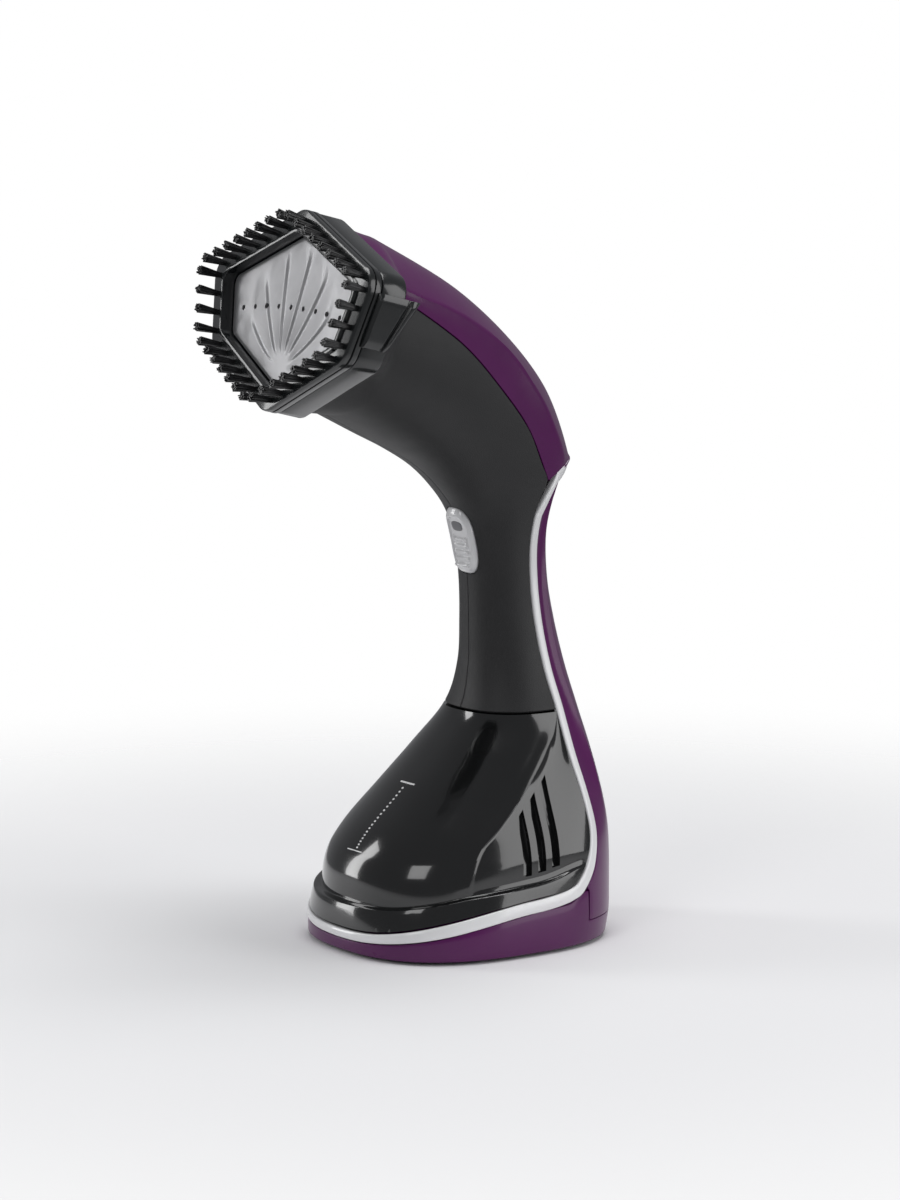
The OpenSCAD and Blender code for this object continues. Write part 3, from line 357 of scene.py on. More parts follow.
def material(name, colour, rough, metal=0.0, coat=0.0, coat_rough=0.05, tint=0.12, tint_scale=60,
             grain=0.0, grain_scale=900, rough_vary=0.06, sheen=0.0, specular=0.5, streak=None,
             subsurface=0.0):
    """A moulded or metal surface: slow colour drift, roughness patches, and a fine grain as bump."""
    m = bpy.data.materials.new(name)
    m.use_nodes = True
    nt = m.node_tree
    b = nt.nodes["Principled BSDF"]
    b.inputs["Metallic"].default_value = metal
    b.inputs["Coat Weight"].default_value = coat
    b.inputs["Coat Roughness"].default_value = coat_rough
    b.inputs["Specular IOR Level"].default_value = specular
    b.inputs["Sheen Weight"].default_value = sheen
    if subsurface:
        b.inputs["Subsurface Weight"].default_value = subsurface
        b.inputs["Subsurface Radius"].default_value = (0.004, 0.004, 0.004)
    where = nt.nodes.new("ShaderNodeTexCoord")
    place = nt.nodes.new("ShaderNodeMapping")
    nt.links.new(where.outputs["Object"], place.inputs["Vector"])
    if streak:
        place.inputs["Scale"].default_value = streak
    slow = noise(nt, place, tint_scale, 4)
    ramp = nt.nodes.new("ShaderNodeValToRGB")
    ramp.color_ramp.elements[0].position = 0.3
    ramp.color_ramp.elements[1].position = 0.7
    ramp.color_ramp.elements[0].color = tuple(c * (1 - tint) for c in colour) + (1,)
    ramp.color_ramp.elements[1].color = tuple(min(c * (1 + tint), 1) for c in colour) + (1,)
    nt.links.new(slow.outputs["Fac"], ramp.inputs["Fac"])
    nt.links.new(ramp.outputs["Color"], b.inputs["Base Color"])
    wear = noise(nt, place, tint_scale * 2.3, 6)
    span = nt.nodes.new("ShaderNodeMapRange")
    span.inputs["To Min"].default_value = max(rough - rough_vary, 0.02)
    span.inputs["To Max"].default_value = rough + rough_vary
    nt.links.new(wear.outputs["Fac"], span.inputs["Value"])
    nt.links.new(span.outputs["Result"], b.inputs["Roughness"])
    if grain:
        fine = noise(nt, place, grain_scale, 3)
        bump = nt.nodes.new("ShaderNodeBump")
        bump.inputs["Strength"].default_value = grain
        bump.inputs["Distance"].default_value = 0.0002
        nt.links.new(fine.outputs["Fac"], bump.inputs["Height"])
        nt.links.new(bump.outputs["Normal"], b.inputs["Normal"])
    return m


SOFT = material("soft_touch", (0.019, 0.019, 0.020), 0.5, grain=0.35, grain_scale=2600, tint=0.06,
                sheen=0.05, specular=0.35)
PURPLE = material("purple_gloss", (0.082, 0.003, 0.078), 0.3, coat=0.25, coat_rough=0.1, specular=0.3,
                  grain=0.05, grain_scale=700, tint=0.05)
PALE = material("pale_trim", (0.80, 0.80, 0.81), 0.22, coat=0.5, grain=0.04, tint=0.02)
TANK = material("smoked_tank", (0.0045, 0.0048, 0.005), 0.13, coat=0.7, coat_rough=0.03, grain=0.03,
                grain_scale=260, tint=0.1, rough_vary=0.03)
GLOSS = material("gloss_black", (0.0075, 0.009, 0.0095), 0.24, coat=0.5, coat_rough=0.08, grain=0.08,
                 grain_scale=1500, tint=0.1)
INNER = material("inner_plastic", (0.024, 0.024, 0.026), 0.5, grain=0.3, grain_scale=1500)
IVORY = material("ivory_plastic", (0.74, 0.69, 0.55), 0.42, grain=0.15, tint=0.05)
PLATE_MAT = material("sole_metal", (0.40, 0.40, 0.41), 0.42, metal=0.6, grain=0.12, grain_scale=1800,
                     tint=0.07, tint_scale=90)
ALLOY = material("cast_alloy", (0.6, 0.6, 0.61), 0.42, metal=1.0, grain=0.4, grain_scale=900)
STEEL = material("steel", (0.62, 0.62, 0.63), 0.27, metal=1.0, grain=0.25, streak=(1, 1, 14))
RUBBER = material("black_rubber", (0.014, 0.014, 0.014), 0.68, grain=0.5, grain_scale=1400)
SILICONE = material("silicone", (0.7, 0.7, 0.68), 0.36, grain=0.1, subsurface=0.2)
BOARD = material("board_green", (0.02, 0.13, 0.05), 0.35, coat=0.4, grain=0.3, grain_scale=500, tint=0.25,
                 tint_scale=260)
COIL = material("coil_winding", (0.045, 0.035, 0.05), 0.38, grain=0.6, grain_scale=1100, streak=(1, 1, 9))
WIRE = material("wire_red", (0.42, 0.03, 0.02), 0.38, grain=0.1)
BRISTLE = material("bristle", (0.012, 0.012, 0.013), 0.34, grain=0.2, grain_scale=2500, tint=0.4,
                   tint_scale=500, specular=0.6)
BUTTON = material("button_white", (0.70, 0.70, 0.71), 0.22, coat=0.6, grain=0.05, tint=0.02)
# grey of a painted shade patch on the trigger, standing in for the shadowed recess above the ribs
RECESS_SHADE = material("recess_shade_grey", (0.16, 0.16, 0.17), 0.4, grain=0.1, tint=0.05)
PRINT = material("print_white", (0.86, 0.86, 0.86), 0.45, grain=0.1, tint=0.03)

SLOT_MATERIAL = {
    "soft_black": SOFT, "purple_gloss": PURPLE, "pale_gloss": PALE, "tank_smoke": TANK, "black_gloss": GLOSS,
    "inner_plastic": INNER, "ivory_plastic": IVORY, "aluminium": ALLOY, "steel": STEEL, "rubber": RUBBER,
    "silicone": SILICONE, "board": BOARD, "coil": COIL, "wire": WIRE, "bristle": BRISTLE}
for part in frame["record"]["subparts"]:
    node = frame["nodes"][part["node"]]
    node.data.materials.clear()
    node.data.materials.append(SLOT_MATERIAL[part["material_slot"]])


# ---------------------------- mesh builders
def clean(me, merge=0):
    """Merges points closer than merge and points the faces outward."""
    bm = bmesh.new()
    bm.from_mesh(me)
    if merge:
        bmesh.ops.remove_doubles(bm, verts=bm.verts, dist=merge)
    bmesh.ops.recalc_face_normals(bm, faces=bm.faces)
    bm.to_mesh(me)
    bm.free()


def settle(ob, sharp):
    """Bakes the modifiers, points the normals outward and marks the hard edges."""
    bpy.context.view_layer.update()
    baked = bpy.data.meshes.new_from_object(ob.evaluated_get(bpy.context.evaluated_depsgraph_get()))
    ob.modifiers.clear()
    ob.data = baked
    clean(baked, 2e-6)
    baked.shade_smooth()
    baked.set_sharp_from_angle(angle=math.radians(sharp))


def new_object(name, solid, merge=0):
    """An object from a solid: its points in mm, and its faces."""
    verts, faces = solid
    me = bpy.data.meshes.new(name)
    me.from_pydata([(x * MM, y * MM, z * MM) for x, y, z in verts], [], faces)
    ob = bpy.data.objects.new(name, me)
    bpy.context.scene.collection.objects.link(ob)
    clean(me, merge)
    return ob


def piece(name, solid, mat, body, cad=(), sharp=38, bevel=0.0, cut=None):
    """A finished piece that rides a body and stands for the CAD nodes named in cad."""
    ob = new_object(name, solid, merge=1e-6)
    ob.data.materials.append(mat)
    if bevel:
        mod = ob.modifiers.new("edge", "BEVEL")
        mod.width = bevel * MM
        mod.segments = 2
        mod.limit_method = "ANGLE"
        mod.angle_limit = math.radians(50)
        mod.use_clamp_overlap = True
    if cut:
        mod = ob.modifiers.new("cut", "BOOLEAN")
        mod.operation = "DIFFERENCE"
        mod.solver = "EXACT"
        mod.object = cut
    settle(ob, sharp)
    if cut:
        bpy.data.objects.remove(cut)
    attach(ob, body)
    if cad:
        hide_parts(*cad)
    return ob


def cutter(solid):
    """A solid that piece() takes out of another."""
    ob = new_object("cutter", solid)
    ob.hide_render = True
    return ob


def join(parts):
    """Several solids as one list of points and faces."""
    verts, faces = [], []
    for v, f in parts:
        k = len(verts)
        verts += list(v)
        faces += [tuple(i + k for i in q) for q in f]
    return verts, faces


def walls(outer, inner):
    """A closed solid between two grids of points of the same size."""
    rows, cols = len(outer), len(outer[0])
    verts = [p for row in outer for p in row] + [p for row in inner for p in row]
    n = rows * cols
    faces = []
    for i in range(rows - 1):
        for j in range(cols - 1):
            k = i * cols + j
            faces.append((k, k + 1, k + cols + 1, k + cols))
            faces.append((n + k, n + k + cols, n + k + cols + 1, n + k + 1))
    for i in range(rows - 1):
        for k in (i * cols, i * cols + cols - 1):
            faces.append((k, k + cols, n + k + cols, n + k))
    for j in range(cols - 1):
        for k in (j, (rows - 1) * cols + j):
            faces.append((k, k + 1, n + k + 1, n + k))
    return verts, faces


def shell(grid, thick):
    """A closed wall under a grid of points, following its normals."""
    rows, cols = len(grid), len(grid[0])
    g = [[Vector(p) for p in row] for row in grid]
    inner = []
    for i in range(rows):
        line = []
        for j in range(cols):
            a = g[min(i + 1, rows - 1)][j] - g[max(i - 1, 0)][j]
            b = g[i][min(j + 1, cols - 1)] - g[i][max(j - 1, 0)]
            line.append(g[i][j] - b.cross(a).normalized() * thick)
        inner.append(line)
    return walls(g, inner)


def loft(rings, wrap=False):
    """Quads between rings of equal size, with caps unless the rings wrap onto themselves."""
    n = len(rings[0])
    verts = [p for r in rings for p in r]
    faces = []
    count = len(rings)
    for i in range(count if wrap else count - 1):
        a, b = i * n, ((i + 1) % count) * n
        for j in range(n):
            m = (j + 1) % n
            faces.append((a + j, a + m, b + m, b + j))
    if not wrap:
        faces.append(tuple(range(n)))
        faces.append(tuple(range((count - 1) * n, count * n)))
    return verts, faces


def lathe(profile, place, steps=64):
    """A turned ring: profile is a closed loop of (radius, height), place maps (x, y, height)."""
    turns = [360 * k / steps for k in range(steps)]
    return loft([[place(r * cosd(a), r * sind(a), h) for r, h in profile] for a in turns], wrap=True)


def disc(profile, place, steps=48):
    """A turned solid that closes on its axis: profile runs from the lower centre to the upper one."""
    turns = [360 * k / steps for k in range(steps)]
    return loft([[place(r * cosd(a), r * sind(a), h) for a in turns] for r, h in profile])


# ---------------------------- grip and barrel
def grip_edge(s):
    """Angle of the grip half's rear edge, beside the band and then beside the top cover."""
    return min(band_deg(s) - band_half(s, BAND_EDGE), CORNER_T) if s < 12.6 else cover_deg(s)


TRIGGER_CURVE, TRIGGER_GAP = 3.4, 0.35


def trigger_outline(grow, steps=26):
    """Outline (x, z) of the trigger: tall, with rounded ends, grown by grow."""
    half, low, high = TRIGGER_WID / 2 - 1.5, SLOT_LOW + 0.6, SLOT_LOW + TRIGGER_HGT + 0.1
    pts = []
    for k in range(4 * steps):
        a = 360 * k / (4 * steps)
        z = (low + high) / 2 + ((high - low) / 2 + grow) * curl(sind(a), TRIGGER_CURVE)
        pts.append(((half + grow) * curl(cosd(a), TRIGGER_CURVE), z))
    return pts


def on_front(x, z):
    """Section and angle of the skin point with the given x and z, near the front line."""
    s = section_for(z)
    for _ in range(5):
        q = (abs(x) / smooth(SECTIONS, s)[4]) ** (GRIP_CURVE / 2)
        t = math.copysign(math.degrees(math.asin(min(q, 1))), x)
        s += (z - skin(s, t)[2]) / 14
    return s, t


def on_front_frame(x, z):
    """The skin point that on_front finds, and the outward normal there."""
    s, t = on_front(x, z)
    p, n = Vector(skin(s, abs(t))), normal_of(skin, s, abs(t))
    if t < 0:
        p.x, n.x = -p.x, -n.x
    return p, n


def slot_cutter():
    """The trigger's slot, cut through the front of the grip."""
    ring = trigger_outline(TRIGGER_GAP)
    return cutter(loft([[(x, y, z) for x, z in ring] for y in (-30, GRIP_Y - 6)]))


def grip_half(side):
    """The outer face of one half, from the tank joint to the collar."""
    rows, cols = 150, 44
    grid = []
    for i in range(rows + 1):
        s = mix(JOINT_S + 0.03, END_S, i / rows)
        edge = grip_edge(s)
        row = []
        for j in range(cols + 1):
            p = barrel(s, edge * j / cols)
            row.append((side * max(p[0], 0.06), p[1], p[2]))
        grid.append(row if side > 0 else row[::-1])
    return grid


for side, cad in ((-1, "left_grip_shell"), (1, "right_grip_shell")):
    piece(cad.replace("grip", "soft_grip"), shell(grip_half(side), SHELL_WALL),
          SOFT, "body", (cad,),
          bevel=0.22, cut=slot_cutter())

# ---------------------------- top cover, with its crease
# (section, angle) of the crease; the grid's columns up to CREASE_U lie above it
CREASE = [(12.6, 150), (13.05, 137), (13.7, 125), (14.2, 123), (14.65, 124), (15, 126.5), (15.4, 126.5),
          (16.1, 121.5), (16.35, 119), (16.65, 115), (17, 113), (18, 112)]


def facet_point(surface, s, t, low, crease, push, flat):
    """A skin point, with the skin folded along a crease: flat below it, slightly domed above."""
    a, c, k = Vector(surface(s, low)), Vector(surface(s, crease)), Vector(surface(s, 180))
    ridge = c + normal_of(surface, s, crease) * push
    if t <= crease:
        w = (t - low) / (crease - low)
        return tuple(a.lerp(ridge, w) - normal_of(surface, s, crease) * 0.35 * math.sin(math.pi * w))
    w = (t - crease) / (180 - crease)
    arc = Vector(surface(s, t)) + (ridge - c) * (1 - w) ** 2
    return tuple(arc.lerp(ridge.lerp(k, w), flat * (1 - w * w)))


CREASE_U, CREASE_PUSH, CREASE_FLAT = 0.66, 0.5, 0.55
TIP_BLEND_S, TIP_BLEND = 14.3, 1.64


def cover_patch():
    """The top cover's outer face. Its lower end is drawn out to the tip line."""
    rows, half = 110, 40
    grid = []
    for i in range(rows + 1):
        row = []
        for j in range(-half, half + 1):
            u = abs(j) / half
            s = mix(TIP_S, END_S, i / rows)
            edge = cover_deg(s) + 0.9
            crease = max(through(CREASE, s), edge + 3)
            if u < CREASE_U:
                t = mix(180, crease, u / CREASE_U)
            else:
                t = mix(crease, edge, (u - CREASE_U) / 0.34)
            if s <= MOUTH_S:
                p = facet_point(barrel, s, t, edge, crease, CREASE_PUSH, CREASE_FLAT)
            else:
                w = s - MOUTH_S
                push, flat = CREASE_PUSH * (1 - w), CREASE_FLAT * (1 - w)
                p = mix(facet_point(barrel, s, t, edge, crease, push, flat), barrel(s, t), w)
            goal = tip_line(mix(180, CORNER_T, u ** 1.15), 0, 1.0)
            p = mix(p, goal, ease((TIP_BLEND_S - s) / TIP_BLEND) ** 1.2)
            row.append(p if j <= 0 else (-p[0], p[1], p[2]))
        grid.append(row)
    return grid


piece("top_cover_shell", shell(cover_patch(), COVER_WALL), PURPLE, "body", ("top_cover",),
      bevel=0.2, sharp=24)

# ---------------------------- rear cover
REAR_CREASE = [(1.2, 150), (4, 138), (5.5, 128), (6.7, 119), (8.1, 115), (9.25, 116.5),
               (10.4, 122), (11.85, 132), (12.6, 160)]
REAR_STEP_Z = 9.8


def rear_cover_patch():
    """The rear cover's outer face, from the step at the base up to the trim band's tip."""
    rows, half = 170, 30
    low_s = section_at(REAR_STEP_Z + SEAM_GAP)
    grid = []
    for i in range(rows + 1):
        row = []
        for j in range(-half, half + 1):
            u = abs(j) / half
            s = mix(low_s, rear_top(mix(180, 121, u)), i / rows)
            wide = band_deg(s) + band_half(s, BAND_EDGE + band_extra(s, 98))
            edge = max(wide, mix(114.5, 100, min(max(s - 2.1, 0), 1)))
            crease = max(through(REAR_CREASE, s), edge + 4)
            t = mix(180, crease, u / 0.6) if u < 0.6 else mix(crease, edge, (u - 0.6) / 0.4)
            fold = ease((s - 3.5) / 2.5)
            p = mix(skin(s, t), facet_point(skin, s, t, edge, crease, 0.45, 0.4), fold)
            row.append(p if j <= 0 else (-p[0], p[1], p[2]))
        grid.append(row)
    return grid


GLAND_Z, GLAND_BORE = 20, 7


def along_y(y0, z0):
    """Turns a disc or lathe about a line along y."""
    return lambda a, b, h: (a, y0 + h, z0 + b)


hole = cutter(disc([(6.05, 0), (6.05, 20)], along_y(45, GLAND_Z)))
piece("rear_cover_shell", shell(rear_cover_patch(), SHELL_WALL),
      PURPLE, "body", ("rear_cover",),
      bevel=0.25, sharp=24, cut=hole)

# ---------------------------- trim band
# Half of the band's rounded section: (share of the half width, height)
BAND_HALF = [(1, -1.6), (1, 0.0), (0.93, 0.28), (0.72, 0.46), (0.3, 0.56)]
# The whole section where the band climbs to the tip: (share of the width, height)
ACROSS = [(0, -1.6), (0.0, 0.0), (0.035, 0.28), (0.14, 0.46), (0.35, 0.56),
          (0.65, 0.56), (0.86, 0.46), (0.965, 0.28), (1.0, 0.0), (1.0, -1.6)]


def band_ring(k):
    """A cross-section of the band at a share k of its path."""
    s, t = band_path(k)
    c = Vector(skin(s, t))
    n = normal_of(skin, s, t)
    q0, q1 = band_path(min(k + 0.004, 1)), band_path(max(k - 0.004, 0))
    run = (Vector(skin(*q0)) - Vector(skin(*q1))).normalized()
    b = n.cross(run)
    up, down = TRIM_WID / 2, TRIM_WID / 2 + band_extra(s, t)
    profile = [(w * up, h) for w, h in BAND_HALF] + [(-w * down, h) for w, h in BAND_HALF[::-1]]
    return [tuple(c + b * p + n * q) for p, q in profile]


def tip_ring(t):
    """A cross-section of the band where it runs up to the tip, between the two covers."""
    up, down = Vector(tip_line(t, 0.1, 1.0)), Vector(tip_line(t, TIP_TRIM_LOW, 0))
    ahead, behind = tip_line(min(t + 2, 180), 2, 0.5), tip_line(t - 2, 2, 0.5)
    if t > 178:
        ahead = (-behind[0], behind[1], behind[2])
    n = (Vector(ahead) - Vector(behind)).cross(up - down).normalized()
    if n.y < 0:
        n = -n
    return [tuple(up.lerp(down, a) + n * d) for a, d in ACROSS]


def trim_loop():
    """The band's right half up to the tip and its mirror image, as one closed loop."""
    steps, last = 190, 176
    right = [band_ring(i / steps) for i in range(1, last + 1)]
    first_turn = CORNER_T + 13
    back = [tip_ring(first_turn + (180 - first_turn) * k / 26) for k in range(27)]
    near = [[mix(p, q, w) for p, q in zip(right[-1], back[0])] for w in (0.33, 0.67)]
    apex = [(0, y, z) for x, y, z in back[-1]]
    right += near + back[:-1]
    left = [[(-x, y, z) for x, y, z in r] for r in right[::-1]]
    front = [(0, y, z) for x, y, z in band_ring(0.00005)]
    return loft([front] + right + [apex] + left, wrap=True)


piece("trim_ring", trim_loop(), PALE, "body", ("trim_band",), sharp=50)

# ---------------------------- base
def rim_top(t):
    """Height of the base's upper edge at angle t."""
    t = abs(t)
    y = skin(1.2, t)[1]
    front = under_deck(y, TRIM_WID + FOOT_GAP + 0.3 + band_extra(1.5, t))
    front += 3.6 * ease((t - 101) / 11)
    return mix(front, REAR_STEP_Z, ease((t - 113.3) / 0.7))


def base_rings():
    """The base's wall as one closed loop of upright sections, close together at the rear step."""
    turns = [1.2 * k for k in range(1, 94)] + [112.4 + 0.12 * k for k in range(20)]
    turns += [1.2 * k for k in range(97, 150)]
    rings = []
    for t in [-t for t in turns[::-1]] + [0] + turns + [180]:
        top = rim_top(t)

        def at(z, depth):
            x, y, _ = skin(section_at(max(z, 0)), t, depth)
            return (x, y, z)

        ring = [at(1.25, 0.9), at(1.5, 0.35), at(2.0, 0.08)]
        ring += [at(mix(2.4, top - 0.5, i / 6), 0) for i in range(7)]
        ring += [at(top - 0.15, 0.06), at(top, 0.3), at(top, 2.4), at(3.2, 2.4), at(1.25, 2.2)]
        rings.append(ring)
    return loft(rings, wrap=True)


piece("base_body", base_rings(), PURPLE, "body", ("base_shell",), sharp=35)


def base_outline(depth, t):
    """The base's plan at angle t from the front, set in by depth."""
    mid = BASE_LEN * 0.005
    x = (BASE_WID / 2 - depth) * curl(sind(t), 2.6)
    return (x, mid - (BASE_LEN / 2 + mid - depth) * curl(cosd(t), 2.6))


def half_width(y, depth):
    """Half width of the base at y, set in by depth."""
    return base_outline(depth, bisect(0, 180, 24, lambda m: base_outline(depth, m)[1] < y))[0]


def deck_slab():
    """The sloping deck under the tank, its rear drop, and the floor behind it."""
    front_y, run = -51, DECK_BACK + 51
    path = [(front_y + run * k / 60, deck_z(front_y + run * k / 60) - 0.95) for k in range(61)]
    path += [(DECK_BACK, z) for z in (20, 16, 12)]
    path += [(DECK_BACK + 3 * k, REAR_STEP_Z - 0.2) for k in range(10)]
    grid = []
    for y, z in path:
        wide = half_width(y, 3.8)
        grid.append([(wide * x / 16, y, z) for x in range(-16, 17)])
    return shell(grid, 1.8)


piece("base_deck", deck_slab(), PURPLE, "body", bevel=0.3)

# ---------------------------- water tank
# (section, angle) of the side panel's front edge, (angle, height) of the ledge,
# and (angle, depth) of the wall above it
FACET = [(1.0, 66), (2.35, 65), (3.1, 63.5), (3.85, 64), (4.35, 69.5), (4.85, 74.5), (5.35, 80),
         (6.1, 87.5), (6.6, 92), (7.0, 95)]
LEDGE = [(0, 19.6), (25, 20.4), (45, 22.3), (65, 25.0), (90, 27.2), (110, 31.5)]
WALL_IN = [(0, 3.3), (30, 3.2), (60, 2.2), (85, 1.5), (100, 1.1), (112, 0.5)]
WALL_TOP_Z = 37
TANK_TOP_S = JOINT_S - 0.035
TANK_BAY, TANK_CORNER = 17.3, 0.6


def tank_edge(s):
    """Angle of the tank's rear edge, beside the trim band."""
    return band_deg(s) - band_half(s, TRIM_WID / 2 + 0.4) - 4 * max(0, min(1, 3 - s))


def tank_point(s, t):
    """A point of the tank: the skin, with the ledge round its foot and the hollowed side panel."""
    p = Vector(skin(s, abs(t)))
    n = normal_of(skin, s, abs(t))
    z, a = p.z, abs(t)
    ledge = through(LEDGE, a)
    inset = 0.0
    if z > ledge - 1.6:
        k = (z - ledge) / (WALL_TOP_Z - ledge)
        wall = through(WALL_IN, a) * max(1 - max(k, 0), 0) ** 1.4
        inset += wall * ease((z - ledge + 0.9) / 1.5)
    edge, ridge = tank_edge(s), through(FACET, s)
    if a > ridge:
        u = (a - ridge) / (edge - ridge)
        deep = 2.3 * ease((7.05 - s) / 1.6) * ease((z - ledge + 1) / 3.5)
        inset += deep * 2.7 * u * (1 - min(u, 1)) ** 1.15
    elif a > ridge - 9:
        inset -= 0.35 * ease((a - ridge + 9) / 9) * ease((7 - s) / 1.2) * ease((z - ledge) / 4)
    p -= n * inset
    return Vector((math.copysign(p.x, t) if t else 0, p.y, p.z))


def tank_rows(t):
    """Sections from the tank's lower edge to its top at angle t, denser at the ledge."""
    low = section_for(deck_z(skin(2, t)[1]) - 0.3)
    ledge = through(LEDGE, abs(t))
    marks = [low + (section_for(ledge - 1.0) - low) * k / 5 for k in range(5)]
    marks += [section_for(ledge - 1.0 + 1.9 * k / 9) for k in range(9)]
    start = section_for(ledge + 0.9)
    marks += [mix(start, TANK_TOP_S, k / 96) for k in range(97)]
    return marks


ROWS_BY_TURN = {}


def rows_near(t):
    """tank_rows at the nearest half degree, worked out once for each."""
    key = round(t * 2)
    if key not in ROWS_BY_TURN:
        ROWS_BY_TURN[key] = tank_rows(key / 2)
    return ROWS_BY_TURN[key]


def tank_columns():
    """(section, angle) columns: the first ones share out the front, the rest the side panel."""
    front, side, first_turn = 70, 44, 60
    columns = []
    for u in [k / front for k in range(front)] + [1 + k / side for k in range(side + 1)]:
        col = []
        t = first_turn
        for i in range(len(tank_rows(0))):
            for _ in range(3):
                s = rows_near(t)[i]
                ridge, edge = through(FACET, s), tank_edge(s)
                t = ridge * u if u <= 1 else mix(ridge, edge, u - 1)
            col.append((s, t))
        columns.append(col)
    return columns


def tank_mesh():
    """The tank as level rings: its outer face, then its back round the bay."""
    columns = tank_columns()
    rings = []
    for i in range(len(columns[0])):
        right = [tank_point(*col[i]) for col in columns]
        e = right[-1]
        back, corner = e.y - 1.0, TANK_BAY - TANK_CORNER
        path = [(e.x - 1.4, back)]
        path += [(mix(e.x - 1.4, TANK_BAY + 0.8, k / 6), back) for k in range(1, 7)]
        inner = DECK_BACK
        if back > inner + 1:
            path += [(TANK_BAY, back - 0.8), (TANK_BAY, inner + 0.6), (corner, inner)]
        else:
            path += [(TANK_BAY, back), (TANK_BAY - 0.3, back), (corner, back)]
            inner = back
        path += [(mix(corner, 0, k / 6), inner) for k in range(1, 7)]
        ring = [tuple(p) for p in right] + [(x, y, e.z) for x, y in path]
        rings.append(ring + [(-x, y, z) for x, y, z in ring[1:-1]][::-1])
    return loft(rings)


def groove(corner_list, depth):
    """A cutter that follows the tank's side: its outline is given by (y, z) corners."""
    outline = []
    for i, a in enumerate(corner_list):
        b = corner_list[(i + 1) % 4]
        outline += [mix(a, b, k / 12) for k in range(12)]

    def side_point(y, z, push):
        s = section_for(z)
        return (tank_point(s, bisect(40, 115, 20, lambda m: tank_point(s, m).y < y)).x + push, y, z)

    return [[side_point(y, z, push) for y, z in outline] for push in (-depth, 3)]


SLOTS = [[(-0.3, 51.4), (3.4, 54.6), (2.9, 30.4), (-0.9, 30.2)],
         [(6.6, 56.8), (10.3, 60.2), (9.6, 31.4), (5.9, 31.0)],
         [(13.3, 62.2), (17.0, 65.8), (16.1, 32.6), (12.4, 32.2)]]
slot_parts = []
for corners_yz in SLOTS:
    v, f = loft(groove(corners_yz, 2.0))
    slot_parts.append((v, f))
    slot_parts.append(([(-x, y, z) for x, y, z in v], f))
slot_parts.append(disc([(6.0, 0), (6.0, 20)], along_y(DECK_BACK - 8, TANK_TOP - 10.5)))
piece("tank_body", tank_mesh(), TANK, "tank", ("tank_shell",),
      sharp=30, cut=cutter(join(slot_parts)))


# ---- level scale: dots between two lines, printed on the front
def print_mark(outline, lift=0.1):
    """A thin printed patch: outline is a list of (section, angle)."""
    top, low = [], []
    for s, t in outline:
        p, n = tank_point(s, t), normal_of(skin, s, abs(t))
        n = Vector((math.copysign(n.x, t) if t else 0, n.y, n.z))
        top.append(tuple(p + n * lift))
        low.append(tuple(p - n * 0.3))
    return loft([low, top])


marks = []
DOTS, DOT_R, LINE_HALF = 18, 0.022, 0.016
HIGH_S, LOW_S = 5.13, 3.62
for k in range(DOTS):
    s = mix(HIGH_S, LOW_S, k / (DOTS - 1))
    marks.append(print_mark([(s + DOT_R * sind(a), 0.6 + 0.5 * cosd(a)) for a in range(0, 360, 30)]))
for s, a, b in ((HIGH_S + 0.12, -3.5, 6.2), (LOW_S - 0.1, -4.5, 4.6)):
    edge = [(s + LINE_HALF, mix(a, b, k / 8)) for k in range(9)]
    edge += [(s - LINE_HALF, mix(b, a, k / 8)) for k in range(9)]
    marks.append(print_mark(edge))
piece("level_scale", join(marks), PRINT, "tank", sharp=40)

# ---------------------------- steam head
def profile_ring(profile):
    """A closed ring swept round the plate: profile is a loop of (growth, corner radius, height)."""
    return loft([[head(x, y, z) for x, y in head_outline(g, r)] for g, r, z in profile], wrap=True)


collar = [(8.2, 8.0, 21.0), (8.5, 8.3, 20.85), (8.7, 8.5, 20.4), (8.7, 8.5, 16.0), (8.7, 8.5, 11.2),
          (8.5, 8.3, 10.5), (8.0, 7.8, 10.1), (3.0, 4.0, 10.1), (0.8, 3.5, 10.1), (0.8, 3.5, 21.0)]
piece("collar_ring", profile_ring(collar), GLOSS, "body", ("head_collar",), sharp=30)

BACK_Z = COLLAR_LEN + FREE_GAP
FRONT_Z = COLLAR_LEN + FREE_GAP + FRAME_T
FLANGE_Z = FRONT_Z - 1.1
profile = [(0.6, 4.5, BACK_Z), (0.6, 4.5, FRONT_Z - 0.5), (0.75, 4.6, FRONT_Z - 0.15), (1.1, 4.8, FRONT_Z),
           (2.3, 5.4, FRONT_Z), (2.65, 5.6, FRONT_Z - 0.15), (2.85, 5.8, FRONT_Z - 0.5),
           (2.95, 5.9, FLANGE_Z), (3.4, 6.0, FLANGE_Z - 0.12), (7.9, 8.2, FLANGE_Z - 0.12),
           (8.5, 8.6, FLANGE_Z - 0.3), (8.9, 8.9, FLANGE_Z - 0.8), (9.0, 9.0, FLANGE_Z - 1.4),
           (9.0, 9.0, 24.6), (8.8, 8.8, 24.45), (8.35, 8.4, 24.4), (8.35, 8.4, 23.9), (8.8, 8.8, 23.85),
           (9.0, 9.0, 23.7), (9.0, 9.0, 22.0), (8.85, 8.9, 21.6), (8.4, 8.5, BACK_Z)]
piece("brush_ring", profile_ring(profile), GLOSS, "brush", ("brush_frame",), sharp=30)


